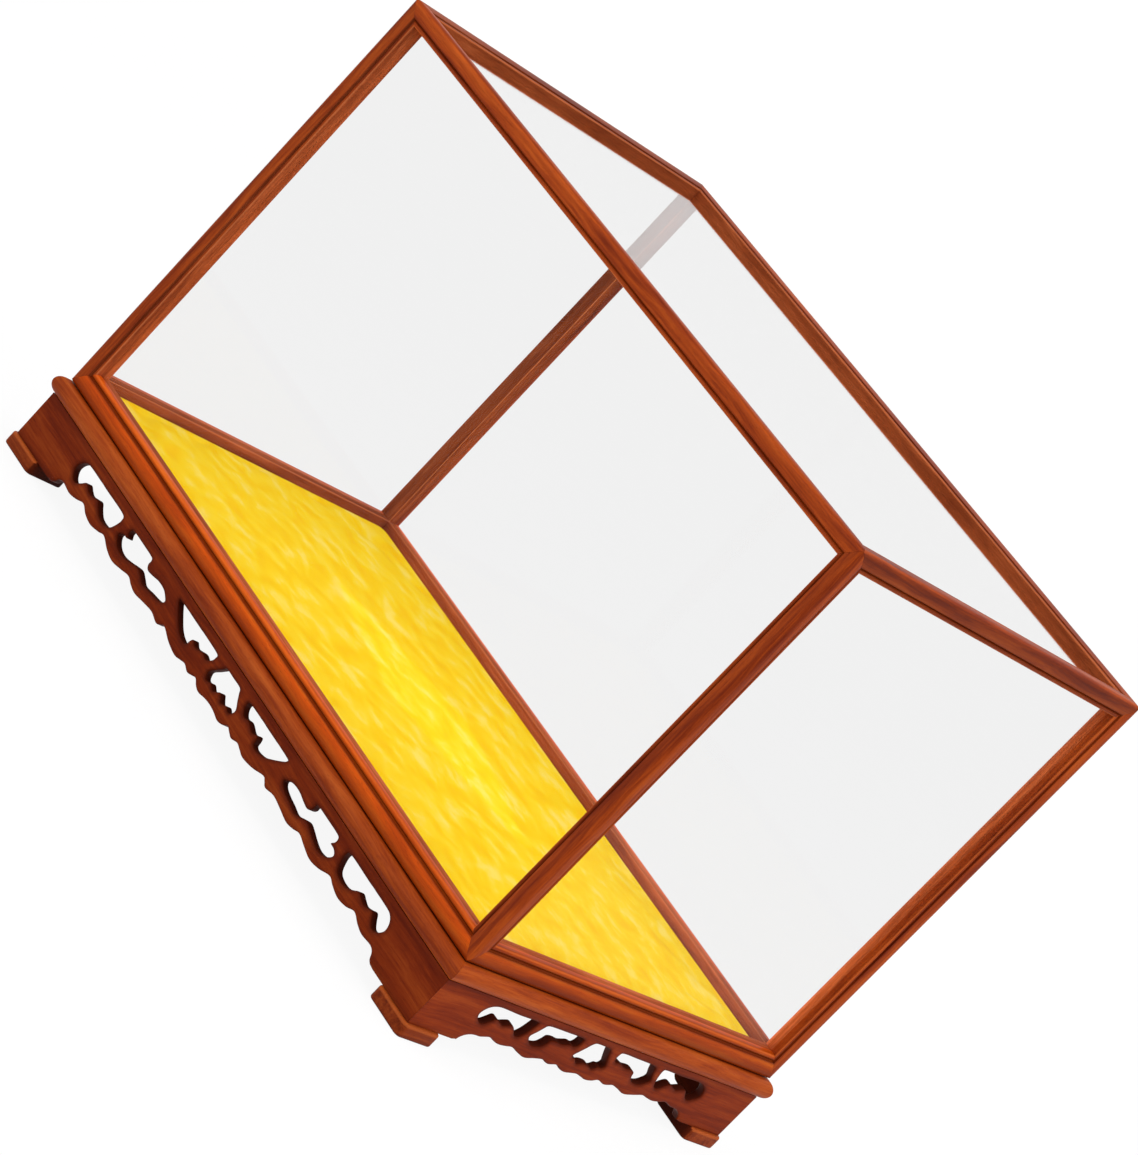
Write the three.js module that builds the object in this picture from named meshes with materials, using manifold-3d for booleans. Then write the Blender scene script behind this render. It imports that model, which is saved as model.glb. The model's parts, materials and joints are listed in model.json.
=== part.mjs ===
// A glazed display hood that lifts off a low openwork stand with a padded floor.
// Millimetres, +Z up, long side along X, origin under the middle of the stand's feet.
import * as THREE from 'three';
import { mergeVertices } from 'three/addons/utils/BufferGeometryUtils.js';
import Module from 'manifold-3d';

const wasm = await Module();
wasm.setup();

// Driving dimensions of the hood, over its outer faces
const hoodLength = 500;
const hoodWidth = 310;
const hoodHeight = 311;

// Posts and rails of the hood: the face that shows, and the depth from outer to inner face
const memberFace = 13;
const bottomRailFace = 15.5;
const memberDepth = 13;

// Moulding run along every outer face: a crowned band, a quirk and a bead beside the glass
const arrisRadius = 3;
const crownDrop = 0.7;
const quirkDepth = 2.3;
const beadSetback = 1.2;
const bandShare = 0.7;
const quirkShare = 0.075;

// Panes and the grooves that hold them
const glassThickness = 2;
const glassSetback = 6.15;
const glassSideGap = 0.25;
const glassEdgeGap = 0.4;
const grooveDepth = 2.6;

// Rails of the stand: a mitred frame with a half-round nose, grooved inside for the floor panel
const railThickness = 12.5;
const railWidth = 32;
const railOverhang = 5;
const panelGrooveDepth = 6;
const panelGrooveDrop = 2.4;

// Floor panel and the battens that keep it flat
const panelThickness = 4.6;
const panelSideGap = 0.25;
const panelEdgeGap = 0.5;
const battenWidth = 20;
const battenDrop = 3;
const battenSpacing = 170;
const tongueLength = 8;
const tongueThickness = 3;

// Aprons with their legs, each cut from one board and pierced
const apronHeight = 33.2;
const apronThickness = 6.5;
const apronInset = 4;
const legWidth = 45;

// Glue blocks behind the mitres, and the feet under them
const blockLeg = 20;
const footSide = 32.5;
const footHeight = 9;
const footProjection = 2.5;
const footCornerRadius = 4;
const footSoftening = 1.2;

// Padded floor: a board wrapped in velvet, standing just inside the hood's bottom rails
const padClearance = 1.6;
const boardThickness = 3.7;
const boardInset = 1.5;
const padHeight = 5.6;
const padCrown = 1.4;
const padDrawIn = 0.9;
const padCornerRadius = 5;
const padEdgeRoll = 2.6;

// Air left between two faces that touch, and how far a cutter runs past what it cuts
const seam = 0.2;
const hoodSeat = 0.3;
const overrun = 1;

// Two lengths count as equal when they differ by less than this share of their size
const roundingShare = 1e-6;

// Heights of the joints, from the surface that the feet stand on
const apronBottom = footHeight + seam;
const apronTop = apronBottom + apronHeight;
const railBottom = apronTop + seam;
const railTop = railBottom + railThickness;
const hoodBottom = railTop + hoodSeat;
const hoodTop = hoodBottom + hoodHeight;

// Plan sizes that follow the hood
const railLength = hoodLength + 2 * railOverhang;
const railSpan = hoodWidth + 2 * railOverhang;
const apronLength = railLength - 2 * apronInset;
const apronSpan = railSpan - 2 * apronInset;
const grooveStart = glassSetback - glassSideGap;
const grooveEnd = glassSetback + glassThickness + glassSideGap;
const bottomMitre = bottomRailFace / memberFace;

// Finishes
const finishes = {
  rosewood: { color: 0x9a4a20, roughness: 0.38, metalness: 0 },
  shadedRosewood: { color: 0x74301a, roughness: 0.45, metalness: 0 },
  glass: { color: 0xeef3f1, roughness: 0.03, metalness: 0, transparent: true, opacity: 0.2 },
  board: { color: 0xb98a55, roughness: 0.8, metalness: 0 },
  velvet: { color: 0xf7cf2a, roughness: 0.95, metalness: 0 },
};

const part = new THREE.Group();

// Each piece gets a mesh of its own, with its own material
function addPiece(name, geometry, finish, place = {}) {
  const mesh = new THREE.Mesh(geometry, new THREE.MeshStandardMaterial(finishes[finish]));
  mesh.name = name;
  mesh.position.set(place.x ?? 0, place.y ?? 0, place.z ?? 0);
  mesh.rotation.z = place.turn ?? 0;
  part.add(mesh);
  return mesh;
}

// The four sides in turn: the front looks to -Y, and the others follow round the corner
const quarter = Math.PI / 2;
const sides = [
  { name: 'front', turn: 0, isLong: true },
  { name: 'right', turn: quarter, isLong: false },
  { name: 'back', turn: 2 * quarter, isLong: true },
  { name: 'left', turn: 3 * quarter, isLong: false },
];
const corners = [
  { name: 'front_left', turn: 0, x: -1, y: -1 },
  { name: 'front_right', turn: quarter, x: 1, y: -1 },
  { name: 'back_right', turn: 2 * quarter, x: 1, y: 1 },
  { name: 'back_left', turn: 3 * quarter, x: -1, y: 1 },
];

// Where a piece drawn against the front face goes, for a frame of the given length and width
function sidePlace(side, length, width, z) {
  const reach = (side.isLong ? width : length) / 2;
  return { x: Math.sin(side.turn) * reach, y: -Math.cos(side.turn) * reach, z, turn: side.turn };
}

function cornerPlace(corner, length, width, z) {
  return { x: corner.x * length / 2, y: corner.y * width / 2, z, turn: corner.turn };
}

// Closes a mesh of shared points and turns its faces outwards
function closedGeometry(points, triangles) {
  let sixVolumes = 0;
  for (const [i, j, k] of triangles) {
    sixVolumes += points[i].dot(new THREE.Vector3().crossVectors(points[j], points[k]));
  }
  const outward = sixVolumes > 0 ? triangles : triangles.map(([i, j, k]) => [i, k, j]);
  const geometry = new THREE.BufferGeometry().setFromPoints(points);
  geometry.setIndex(outward.flat());
  return geometry;
}

function toSolid(geometry) {
  const bare = geometry.clone();
  bare.deleteAttribute('normal');
  bare.deleteAttribute('uv');
  const merged = mergeVertices(bare);
  return new wasm.Manifold(new wasm.Mesh({
    numProp: 3,
    vertProperties: new Float32Array(merged.attributes.position.array),
    triVerts: new Uint32Array(merged.index.array),
  }));
}

function fromSolid(solid) {
  const mesh = solid.getMesh();
  const geometry = new THREE.BufferGeometry();
  geometry.setAttribute('position', new THREE.BufferAttribute(mesh.vertProperties, mesh.numProp));
  geometry.setIndex(new THREE.BufferAttribute(mesh.triVerts, 1));
  return geometry;
}

// Outer face of a hood member, from the rounded arris to the lip behind the glass.
// Each point is (distance along the face, depth behind it).
function mouldedFace(face, lip) {
  const band = face * bandShare;
  const quirk = face * quirkShare;
  const beadRadius = (face - band - quirk) / 2;
  const crownSteps = 3;
  const beadSteps = 6;
  const points = [];
  for (let i = 0; i <= crownSteps; i += 1) {
    const share = i / crownSteps;
    points.push(new THREE.Vector2(arrisRadius + (band - arrisRadius) * share, crownDrop * share ** 2));
  }
  points.push(new THREE.Vector2(band + quirk / 2, quirkDepth));
  for (let i = 0; i <= beadSteps; i += 1) {
    const angle = Math.PI * (1 - i / beadSteps);
    points.push(new THREE.Vector2(
      band + quirk + beadRadius * (1 + Math.cos(angle)),
      beadSetback + beadRadius * (1 - Math.sin(angle)),
    ));
  }
  points.push(new THREE.Vector2(face, grooveStart));
  points.push(new THREE.Vector2(face - grooveDepth, grooveStart));
  points.push(new THREE.Vector2(face - grooveDepth, grooveEnd));
  points.push(new THREE.Vector2(lip, grooveEnd));
  points.push(new THREE.Vector2(lip, memberDepth));
  return points;
}

// Rounded outer arris, from face b (b = 0) to face a (a = 0), without its two ends
function arris() {
  const steps = 4;
  const points = [];
  for (let i = 1; i < steps; i += 1) {
    const angle = quarter * i / steps;
    points.push(new THREE.Vector2(
      arrisRadius * (1 - Math.sin(angle)),
      arrisRadius * (1 - Math.cos(angle)),
    ));
  }
  return points;
}

// Section of a post or top rail: the same moulding on both outer faces, grooved for two panes.
// Each point is (a, b), the distances behind the two outer faces.
function cornerSection() {
  const face = mouldedFace(memberFace, memberDepth);
  const faceB = face.map((point) => new THREE.Vector2(point.x, point.y));
  const faceA = face.slice(0, -1).map((point) => new THREE.Vector2(point.y, point.x));
  return [...arris(), ...faceA, ...faceB.reverse()];
}

// Section of a bottom rail: the moulding on its outer face only, and a flat underside
function bottomSection() {
  const faceA = mouldedFace(bottomRailFace, bottomRailFace)
    .map((point) => new THREE.Vector2(point.y, point.x));
  const underside = [new THREE.Vector2(memberDepth, 0), new THREE.Vector2(arrisRadius, 0)];
  return [...arris(), ...faceA, ...underside];
}

// Adds a point wherever the outline crosses the ridge between an end's two mitre planes
function splitAtRidge(outline, mitre) {
  const side = (point) => point.x * mitre.a - point.y * mitre.b;
  const points = [];
  const ridge = [];
  outline.forEach((point, i) => {
    const next = outline[(i + 1) % outline.length];
    const here = side(point);
    const there = side(next);
    const onRidge = Math.abs(here) < roundingShare * point.length();
    if (onRidge && mitre.b > 0) ridge.push(points.length);
    points.push(point);
    if (!onRidge && Math.abs(there) >= roundingShare * next.length() && here * there < 0) {
      ridge.push(points.length);
      points.push(point.clone().lerp(next, here / (here - there)));
    }
  });
  return { points, ridge };
}

// A straight member whose ends are cut to mitre planes. It runs along X, centred; a grows to +Y
// and b grows to up (+1) or down (-1). A mitre says how far an end steps back for each mm of a, b.
function mitredMember(outline, length, startMitre, endMitre, up) {
  const { points, ridge } = splitAtRidge(outline, startMitre);
  const setback = (point, mitre) => Math.max(point.x * mitre.a, point.y * mitre.b) + seam;
  const starts = points.map((p) => new THREE.Vector3(-length / 2 + setback(p, startMitre), p.x, up * p.y));
  const ends = points.map((p) => new THREE.Vector3(length / 2 - setback(p, endMitre), p.x, up * p.y));
  const count = points.length;
  const triangles = [];
  for (let i = 0; i < count; i += 1) {
    const next = (i + 1) % count;
    triangles.push([i, next, count + next], [i, count + next, count + i]);
  }
  const all = points.map((_, i) => i);
  const facets = ridge.length === 2
    ? [all.slice(ridge[0], ridge[1] + 1), [...all.slice(ridge[1]), ...all.slice(0, ridge[0] + 1)]]
    : [all];
  const clockwise = THREE.ShapeUtils.isClockWise(points);
  for (const facet of facets) {
    const contour = facet.map((i) => points[i]);
    for (const ear of THREE.ShapeUtils.triangulateShape(contour, [])) {
      const [i, j, k] = ear.map((index) => facet[index]);
      const follows = THREE.ShapeUtils.isClockWise([points[i], points[j], points[k]]) === clockwise;
      const [second, third] = follows ? [j, k] : [k, j];
      triangles.push([i, third, second], [count + i, count + second, count + third]);
    }
  }
  return closedGeometry([...starts, ...ends], triangles);
}

// Hood: four bottom rails, four posts and four top rails, mitred three ways at each corner
const square = { a: 1, b: 1 };
const bottomRailMitre = { a: 1, b: 1 / bottomMitre };
const postFootMitre = { a: bottomMitre, b: bottomMitre };

function addHoodFrame() {
  for (const side of sides) {
    const run = side.isLong ? hoodLength : hoodWidth;
    addPiece(
      `bottom_rail_${side.name}`,
      mitredMember(bottomSection(), run, bottomRailMitre, bottomRailMitre, 1),
      'rosewood',
      sidePlace(side, hoodLength, hoodWidth, hoodBottom),
    );
    addPiece(
      `top_rail_${side.name}`,
      mitredMember(cornerSection(), run, square, square, -1),
      'rosewood',
      sidePlace(side, hoodLength, hoodWidth, hoodTop),
    );
  }
  for (const corner of corners) {
    const post = mitredMember(cornerSection(), hoodHeight, postFootMitre, square, 1);
    post.applyMatrix4(new THREE.Matrix4().makeBasis(
      new THREE.Vector3(0, 0, 1),
      new THREE.Vector3(1, 0, 0),
      new THREE.Vector3(0, 1, 0),
    ));
    post.translate(0, 0, hoodHeight / 2);
    addPiece(`post_${corner.name}`, post, 'rosewood', cornerPlace(corner, hoodLength, hoodWidth, hoodBottom));
  }
}

// Panes stand in the grooves, short of the groove's bottom by the edge gap
function addPanes() {
  const hidden = grooveDepth - glassEdgeGap;
  const paneHeight = hoodHeight - memberFace - bottomRailFace + 2 * hidden;
  const paneMiddle = hoodBottom + bottomRailFace - hidden + paneHeight / 2;
  for (const side of sides) {
    const run = (side.isLong ? hoodLength : hoodWidth) - 2 * memberFace + 2 * hidden;
    const pane = new THREE.BoxGeometry(run, glassThickness, paneHeight);
    pane.translate(0, glassSetback + glassThickness / 2, 0);
    addPiece(`pane_${side.name}`, pane, 'glass', sidePlace(side, hoodLength, hoodWidth, paneMiddle));
  }
  const top = new THREE.BoxGeometry(
    hoodLength - 2 * memberFace + 2 * hidden,
    hoodWidth - 2 * memberFace + 2 * hidden,
    glassThickness,
  );
  addPiece('pane_top', top, 'glass', { z: hoodTop - glassSetback - glassThickness / 2 });
}

// Stand rail section, from the nose inwards: half-round nose, and a groove for the floor panel
const panelGroove = panelThickness + 2 * panelSideGap;
function standRailSection() {
  const noseRadius = railThickness / 2;
  const noseSteps = 10;
  const points = [];
  for (let i = 0; i <= noseSteps; i += 1) {
    const angle = Math.PI * (i / noseSteps - 0.5);
    points.push(new THREE.Vector2(
      noseRadius * (1 - Math.cos(angle)),
      noseRadius * (1 + Math.sin(angle)),
    ));
  }
  const grooveTop = railThickness - panelGrooveDrop;
  points.push(new THREE.Vector2(railWidth, railThickness));
  points.push(new THREE.Vector2(railWidth, grooveTop));
  points.push(new THREE.Vector2(railWidth - panelGrooveDepth, grooveTop));
  points.push(new THREE.Vector2(railWidth - panelGrooveDepth, grooveTop - panelGroove));
  points.push(new THREE.Vector2(railWidth, grooveTop - panelGroove));
  points.push(new THREE.Vector2(railWidth, 0));
  return points;
}

// The long rails are notched from below for the battens' tongues
function addStandRails() {
  const mitre = { a: 1, b: 0 };
  for (const side of sides) {
    const run = side.isLong ? railLength : railSpan;
    let rail = mitredMember(standRailSection(), run, mitre, mitre, 1);
    if (side.isLong) {
      let solid = toSolid(rail);
      for (const place of [-0.5, 0.5]) {
        const notch = new THREE.BoxGeometry(
          battenWidth + 2 * seam,
          tongueLength + seam + overrun,
          tongueThickness + seam + overrun,
        );
        notch.translate(
          place * battenSpacing,
          railWidth - tongueLength - seam + (tongueLength + seam + overrun) / 2,
          (tongueThickness + seam - overrun) / 2,
        );
        solid = solid.subtract(toSolid(notch));
      }
      rail = fromSolid(solid);
    }
    addPiece(`stand_rail_${side.name}`, rail, 'rosewood', sidePlace(side, railLength, railSpan, railBottom));
  }
}

// The panel floats in the rails' grooves, and two battens under it cross to the long rails
function addFloor() {
  const inGroove = panelGrooveDepth - panelEdgeGap;
  const panel = new THREE.BoxGeometry(
    railLength - 2 * railWidth + 2 * inGroove,
    railSpan - 2 * railWidth + 2 * inGroove,
    panelThickness,
  );
  const panelUnderside = railTop - panelGrooveDrop - panelSideGap - panelThickness;
  addPiece('floor_panel', panel, 'rosewood', { z: panelUnderside + panelThickness / 2 });

  const reach = railSpan / 2 - railWidth;
  const bodyTop = panelUnderside - seam;
  const bodyBottom = railBottom - battenDrop;
  const side = new THREE.Shape();
  side.moveTo(-reach + seam, bodyBottom);
  side.lineTo(reach - seam, bodyBottom);
  side.lineTo(reach - seam, railBottom);
  side.lineTo(reach + tongueLength, railBottom);
  side.lineTo(reach + tongueLength, railBottom + tongueThickness);
  side.lineTo(reach - seam, railBottom + tongueThickness);
  side.lineTo(reach - seam, bodyTop);
  side.lineTo(-reach + seam, bodyTop);
  side.lineTo(-reach + seam, railBottom + tongueThickness);
  side.lineTo(-reach - tongueLength, railBottom + tongueThickness);
  side.lineTo(-reach - tongueLength, railBottom);
  side.lineTo(-reach + seam, railBottom);
  side.closePath();
  const names = { '-0.5': 'floor_batten_left', 0.5: 'floor_batten_right' };
  for (const place of [-0.5, 0.5]) {
    const batten = new THREE.ExtrudeGeometry(side, { depth: battenWidth, bevelEnabled: false });
    batten.applyMatrix4(new THREE.Matrix4().makeBasis(
      new THREE.Vector3(0, 1, 0),
      new THREE.Vector3(0, 0, 1),
      new THREE.Vector3(1, 0, 0),
    ));
    batten.translate(place * battenSpacing - battenWidth / 2, 0, 0);
    addPiece(names[place], batten, 'shadedRosewood');
  }
}

// Lower edge of each apron, from the leg to the middle.
// Shares of the half opening between the legs, and of the apron's height above the leg's end.
const longEdgeShares = [
  [1, 0], [0.988, 0.045], [0.976, 0.148], [0.956, 0.19], [0.913, 0.166], [0.879, 0.21],
  [0.845, 0.283], [0.811, 0.202], [0.772, 0.169], [0.733, 0.217], [0.704, 0.268], [0.66, 0.172],
  [0.617, 0.13], [0.573, 0.181], [0.534, 0.235], [0.505, 0.181], [0.473, 0.15], [0.427, 0.193],
  [0.381, 0.226], [0.342, 0.178], [0.325, 0.232], [0.308, 0.271], [0.262, 0.181], [0.214, 0.136],
  [0.187, 0.172], [0.164, 0.205], [0.138, 0.157], [0.119, 0.19], [0.1, 0.226], [0.08, 0.154],
  [0.058, 0.123], [0.029, 0.157], [0, 0.172],
];
const shortEdgeShares = [
  [1, 0], [0.986, 0.08], [0.959, 0.15], [0.919, 0.193], [0.865, 0.202], [0.829, 0.232],
  [0.793, 0.253], [0.743, 0.208], [0.694, 0.184], [0.64, 0.202], [0.59, 0.223], [0.523, 0.163],
  [0.45, 0.117], [0.378, 0.172], [0.32, 0.205], [0.284, 0.175], [0.248, 0.16], [0.189, 0.202],
  [0.144, 0.145], [0.095, 0.12], [0.045, 0.148], [0, 0.169],
];

// The pierced cloud and bat-wing shapes. Each outline is in shares of its own box, and the box
// runs between shares of the half opening (across) and of the apron's height (up).
const longPiercings = [
  {
    acrossShares: [0.694, 0.959],
    upShares: [0.373, 0.795],
    outlineShares: [
      [0.06, 1], [0, 0.82], [0.02, 0.45], [0.07, 0.14], [0.17, 0.03], [0.28, 0.06], [0.37, 0.24],
      [0.44, 0.42], [0.51, 0.35], [0.59, 0.27], [0.66, 0.34], [0.73, 0.44], [0.79, 0.22],
      [0.86, 0.01], [0.94, 0.08], [1, 0.38], [0.98, 0.72], [0.91, 0.94], [0.8, 1], [0.43, 1],
    ],
  },
  {
    acrossShares: [0.371, 0.667],
    upShares: [0.343, 0.798],
    outlineShares: [
      [0.5, 0.99], [0.467, 0.9], [0.464, 0.71], [0.42, 0.56], [0.336, 0.59], [0.22, 0.68],
      [0.107, 0.66], [0.025, 0.52], [0, 0.42], [0.033, 0.28], [0.123, 0.18], [0.238, 0.12],
      [0.352, 0.05], [0.434, 0.17], [0.516, 0.28], [0.6, 0.21], [0.697, 0.09], [0.81, 0],
      [0.91, 0.06], [0.98, 0.24], [1, 0.42], [0.95, 0.55], [0.885, 0.58], [0.91, 0.75],
      [0.91, 0.9], [0.87, 0.99], [0.68, 1],
    ],
  },
  {
    acrossShares: [0.097, 0.333],
    upShares: [0.407, 0.81],
    outlineShares: [
      [0.05, 0.99], [0, 0.84], [0.02, 0.61], [0.093, 0.42], [0.196, 0.48], [0.342, 0.32],
      [0.433, 0.45], [0.464, 0.27], [0.474, 0.07], [0.536, 0], [0.64, 0.06], [0.742, 0.21],
      [0.866, 0.5], [0.969, 0.78], [1, 0.91], [0.96, 0.99], [0.515, 1],
    ],
  },
];
const longCentre = {
  halfShare: 0.0825,
  upShares: [0.352, 0.804],
  outlineShares: [
    [0, 1], [0.47, 0.99], [0.62, 0.83], [0.79, 0.61], [0.97, 0.4], [1, 0.27], [0.91, 0.08],
    [0.765, 0.05], [0.59, 0.13], [0.44, 0.06], [0.3, 0.01], [0.147, 0.12], [0, 0.23],
  ],
};
const shortPiercings = [
  {
    acrossShares: [0.572, 1.004],
    upShares: [0.428, 0.855],
    outlineShares: [
      [0.05, 0.98], [0, 0.88], [0.02, 0.56], [0.058, 0.25], [0.115, 0.04], [0.19, 0.06],
      [0.26, 0.28], [0.333, 0.42], [0.417, 0.36], [0.5, 0.28], [0.583, 0.37], [0.667, 0.44],
      [0.73, 0.25], [0.8, 0.05], [0.885, 0.06], [0.97, 0.25], [1, 0.49], [0.948, 0.79],
      [0.844, 0.96], [0.7, 1], [0.385, 0.97],
    ],
  },
  {
    acrossShares: [0.167, 0.545],
    upShares: [0.383, 0.861],
    outlineShares: [
      [0.05, 0.99], [0, 0.85], [0.012, 0.64], [0.06, 0.55], [0.155, 0.57], [0.274, 0.49],
      [0.345, 0.46], [0.464, 0.48], [0.56, 0.43], [0.595, 0.25], [0.655, 0.07], [0.774, 0],
      [0.88, 0.04], [0.96, 0.19], [1, 0.36], [0.94, 0.6], [0.893, 0.82], [0.857, 0.94],
      [0.75, 0.98], [0.393, 0.99],
    ],
  },
];
const shortCentre = {
  halfShare: 0.141,
  upShares: [0.361, 0.858],
  outlineShares: [
    [0, 1], [0.41, 0.99], [0.57, 0.89], [0.73, 0.66], [0.89, 0.44], [1, 0.28], [0.92, 0.17],
    [0.73, 0.15], [0.6, 0.04], [0.446, 0], [0.22, 0.07], [0, 0.09],
  ],
};

// A smooth closed path through hand-placed points
function sawnPath(points) {
  const stepsEach = 2;
  const curve = new THREE.CatmullRomCurve3(
    points.map((point) => new THREE.Vector3(point.x, point.y, 0)),
    true,
    'centripetal',
  );
  const sawn = curve.getPoints(points.length * stepsEach).slice(0, -1);
  return new THREE.Path(sawn.map((point) => new THREE.Vector2(point.x, point.y)));
}

// One piercing on each side of the middle, as mirror images
function mirroredPiercings(piercing, halfOpening) {
  const [low, high] = piercing.upShares;
  const [near, far] = piercing.acrossShares;
  return [-1, 1].map((hand) => sawnPath(piercing.outlineShares.map(([across, up]) => new THREE.Vector2(
    hand * halfOpening * (near + (far - near) * across),
    apronHeight * (low + (high - low) * up),
  ))));
}

// The piercing in the middle, drawn as its right half and mirrored
function centrePiercing(piercing, halfOpening) {
  const [low, high] = piercing.upShares;
  const half = piercing.outlineShares.map(([across, up]) => new THREE.Vector2(
    halfOpening * piercing.halfShare * across,
    apronHeight * (low + (high - low) * up),
  ));
  const mirrored = half.slice(1, -1).reverse().map((point) => new THREE.Vector2(-point.x, point.y));
  return sawnPath([...half, ...mirrored]);
}

// An apron and its two legs from one board: front face at y = 0, ends mitred to the next board
function apronGeometry(run, edgeShares, piercings, centre) {
  const half = run / 2;
  const halfOpening = half - legWidth;
  const right = edgeShares.map(([across, up]) => new THREE.Vector2(halfOpening * across, apronHeight * up));
  const left = right.slice(0, -1).reverse().map((point) => new THREE.Vector2(-point.x, point.y));
  const edge = new THREE.SplineCurve([...right, ...left]);
  const board = new THREE.Shape();
  board.moveTo(-half, apronHeight);
  board.lineTo(-half, 0);
  const edgeSteps = 2 * (right.length + left.length - 1);
  for (const point of edge.getPoints(edgeSteps).reverse()) board.lineTo(point.x, point.y);
  board.lineTo(half, 0);
  board.lineTo(half, apronHeight);
  board.closePath();
  board.holes.push(...piercings.flatMap((piercing) => mirroredPiercings(piercing, halfOpening)));
  board.holes.push(centrePiercing(centre, halfOpening));
  const apron = new THREE.ExtrudeGeometry(board, { depth: apronThickness, bevelEnabled: false });
  apron.rotateX(quarter);
  apron.translate(0, apronThickness, 0);
  const position = apron.attributes.position;
  for (let i = 0; i < position.count; i += 1) {
    const x = position.getX(i);
    if (Math.abs(Math.abs(x) - half) < roundingShare * half) {
      position.setX(i, x - Math.sign(x) * (position.getY(i) + seam));
    }
  }
  return apron;
}

function addAprons() {
  for (const side of sides) {
    const apron = side.isLong
      ? apronGeometry(apronLength, longEdgeShares, longPiercings, longCentre)
      : apronGeometry(apronSpan, shortEdgeShares, shortPiercings, shortCentre);
    addPiece(`apron_${side.name}`, apron, 'shadedRosewood', sidePlace(side, apronLength, apronSpan, apronBottom));
  }
}

// A square foot, rounded at its corners and softened along its edges
function footGeometry() {
  const half = footSide / 2;
  const inner = half - footCornerRadius;
  const plan = new THREE.Shape();
  plan.absarc(inner, inner, footCornerRadius, 0, quarter);
  plan.absarc(-inner, inner, footCornerRadius, quarter, 2 * quarter);
  plan.absarc(-inner, -inner, footCornerRadius, 2 * quarter, 3 * quarter);
  plan.absarc(inner, -inner, footCornerRadius, 3 * quarter, 4 * quarter);
  plan.closePath();
  const foot = new THREE.ExtrudeGeometry(plan, {
    depth: footHeight - 2 * footSoftening,
    curveSegments: 3,
    bevelThickness: footSoftening,
    bevelSize: footSoftening,
    bevelOffset: -footSoftening,
    bevelSegments: 2,
  });
  foot.translate(0, 0, footSoftening);
  return foot;
}

// Glue blocks brace the mitred corners, and the feet stand under leg and block together
function addCornersAndFeet() {
  const corner = new THREE.Shape();
  const near = apronThickness + seam;
  corner.moveTo(near, near);
  corner.lineTo(near + blockLeg, near);
  corner.lineTo(near, near + blockLeg);
  corner.closePath();
  const footLength = apronLength + 2 * footProjection - footSide;
  const footSpan = apronSpan + 2 * footProjection - footSide;
  for (const place of corners) {
    const block = new THREE.ExtrudeGeometry(corner, { depth: apronHeight, bevelEnabled: false });
    addPiece(
      `corner_block_${place.name}`,
      block,
      'shadedRosewood',
      cornerPlace(place, apronLength, apronSpan, apronBottom),
    );
    addPiece(`foot_${place.name}`, footGeometry(), 'rosewood', cornerPlace(place, footLength, footSpan, 0));
  }
}

// Plan of the pad: a rectangle with rounded corners whose sides draw in between them
function padPlan(length, width, drawIn) {
  const perSide = 10;
  const perCorner = 3;
  const points = [];
  corners.forEach((corner, i) => {
    const centre = new THREE.Vector2(
      corner.x * (length / 2 - padCornerRadius),
      corner.y * (width / 2 - padCornerRadius),
    );
    const from = Math.PI + quarter * i;
    for (let step = 0; step <= perCorner; step += 1) {
      const angle = from + quarter * step / perCorner;
      points.push(new THREE.Vector2(
        centre.x + padCornerRadius * Math.cos(angle),
        centre.y + padCornerRadius * Math.sin(angle),
      ));
    }
    const next = corners[(i + 1) % corners.length];
    const start = points.at(-1).clone();
    const outward = new THREE.Vector2(Math.cos(from + quarter), Math.sin(from + quarter));
    const end = new THREE.Vector2(
      next.x * (length / 2 - padCornerRadius) + padCornerRadius * outward.x,
      next.y * (width / 2 - padCornerRadius) + padCornerRadius * outward.y,
    );
    for (let step = 1; step < perSide; step += 1) {
      const share = step / perSide;
      const point = start.clone().lerp(end, share);
      points.push(point.addScaledVector(outward, -drawIn * Math.sin(Math.PI * share)));
    }
  });
  return points;
}

// Rolled edge of the pad, from its underside to where the crown starts.
// Shares of the edge roll (inwards) and of the edge height (up).
const padRollShares = [[0.4, 0], [0.1, 0.15], [0, 0.4], [0.12, 0.7], [0.4, 0.9], [1, 1]];

// The velvet pad, in rings: flat below, rolled at the edge, and crowned towards the middle
function padGeometry(length, width) {
  const plan = padPlan(length, width, padDrawIn);
  const edgeHeight = padHeight - padCrown;
  const crownRings = 7;
  const rings = padRollShares.map(([inward, up]) => ({
    inset: padEdgeRoll * inward,
    scale: 1,
    height: edgeHeight * up,
  }));
  for (let i = 1; i < crownRings; i += 1) {
    const scale = 1 - i / crownRings;
    rings.push({ inset: padEdgeRoll, scale, height: edgeHeight + padCrown * (1 - scale ** 2) });
  }
  const points = [];
  for (const { inset, scale, height } of rings) {
    for (const point of plan) {
      const x = point.x * scale * (1 - 2 * inset / length);
      const y = point.y * scale * (1 - 2 * inset / width);
      points.push(new THREE.Vector3(x, y, height));
    }
  }
  const count = plan.length;
  const triangles = [];
  for (let ring = 0; ring < rings.length - 1; ring += 1) {
    for (let i = 0; i < count; i += 1) {
      const here = ring * count + i;
      const beside = ring * count + (i + 1) % count;
      triangles.push([here, beside, beside + count], [here, beside + count, here + count]);
    }
  }
  const low = points.push(new THREE.Vector3(0, 0, 0)) - 1;
  const high = points.push(new THREE.Vector3(0, 0, padHeight)) - 1;
  const last = (rings.length - 1) * count;
  for (let i = 0; i < count; i += 1) {
    const next = (i + 1) % count;
    triangles.push([low, next, i], [high, last + i, last + next]);
  }
  return closedGeometry(points, triangles);
}

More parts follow.
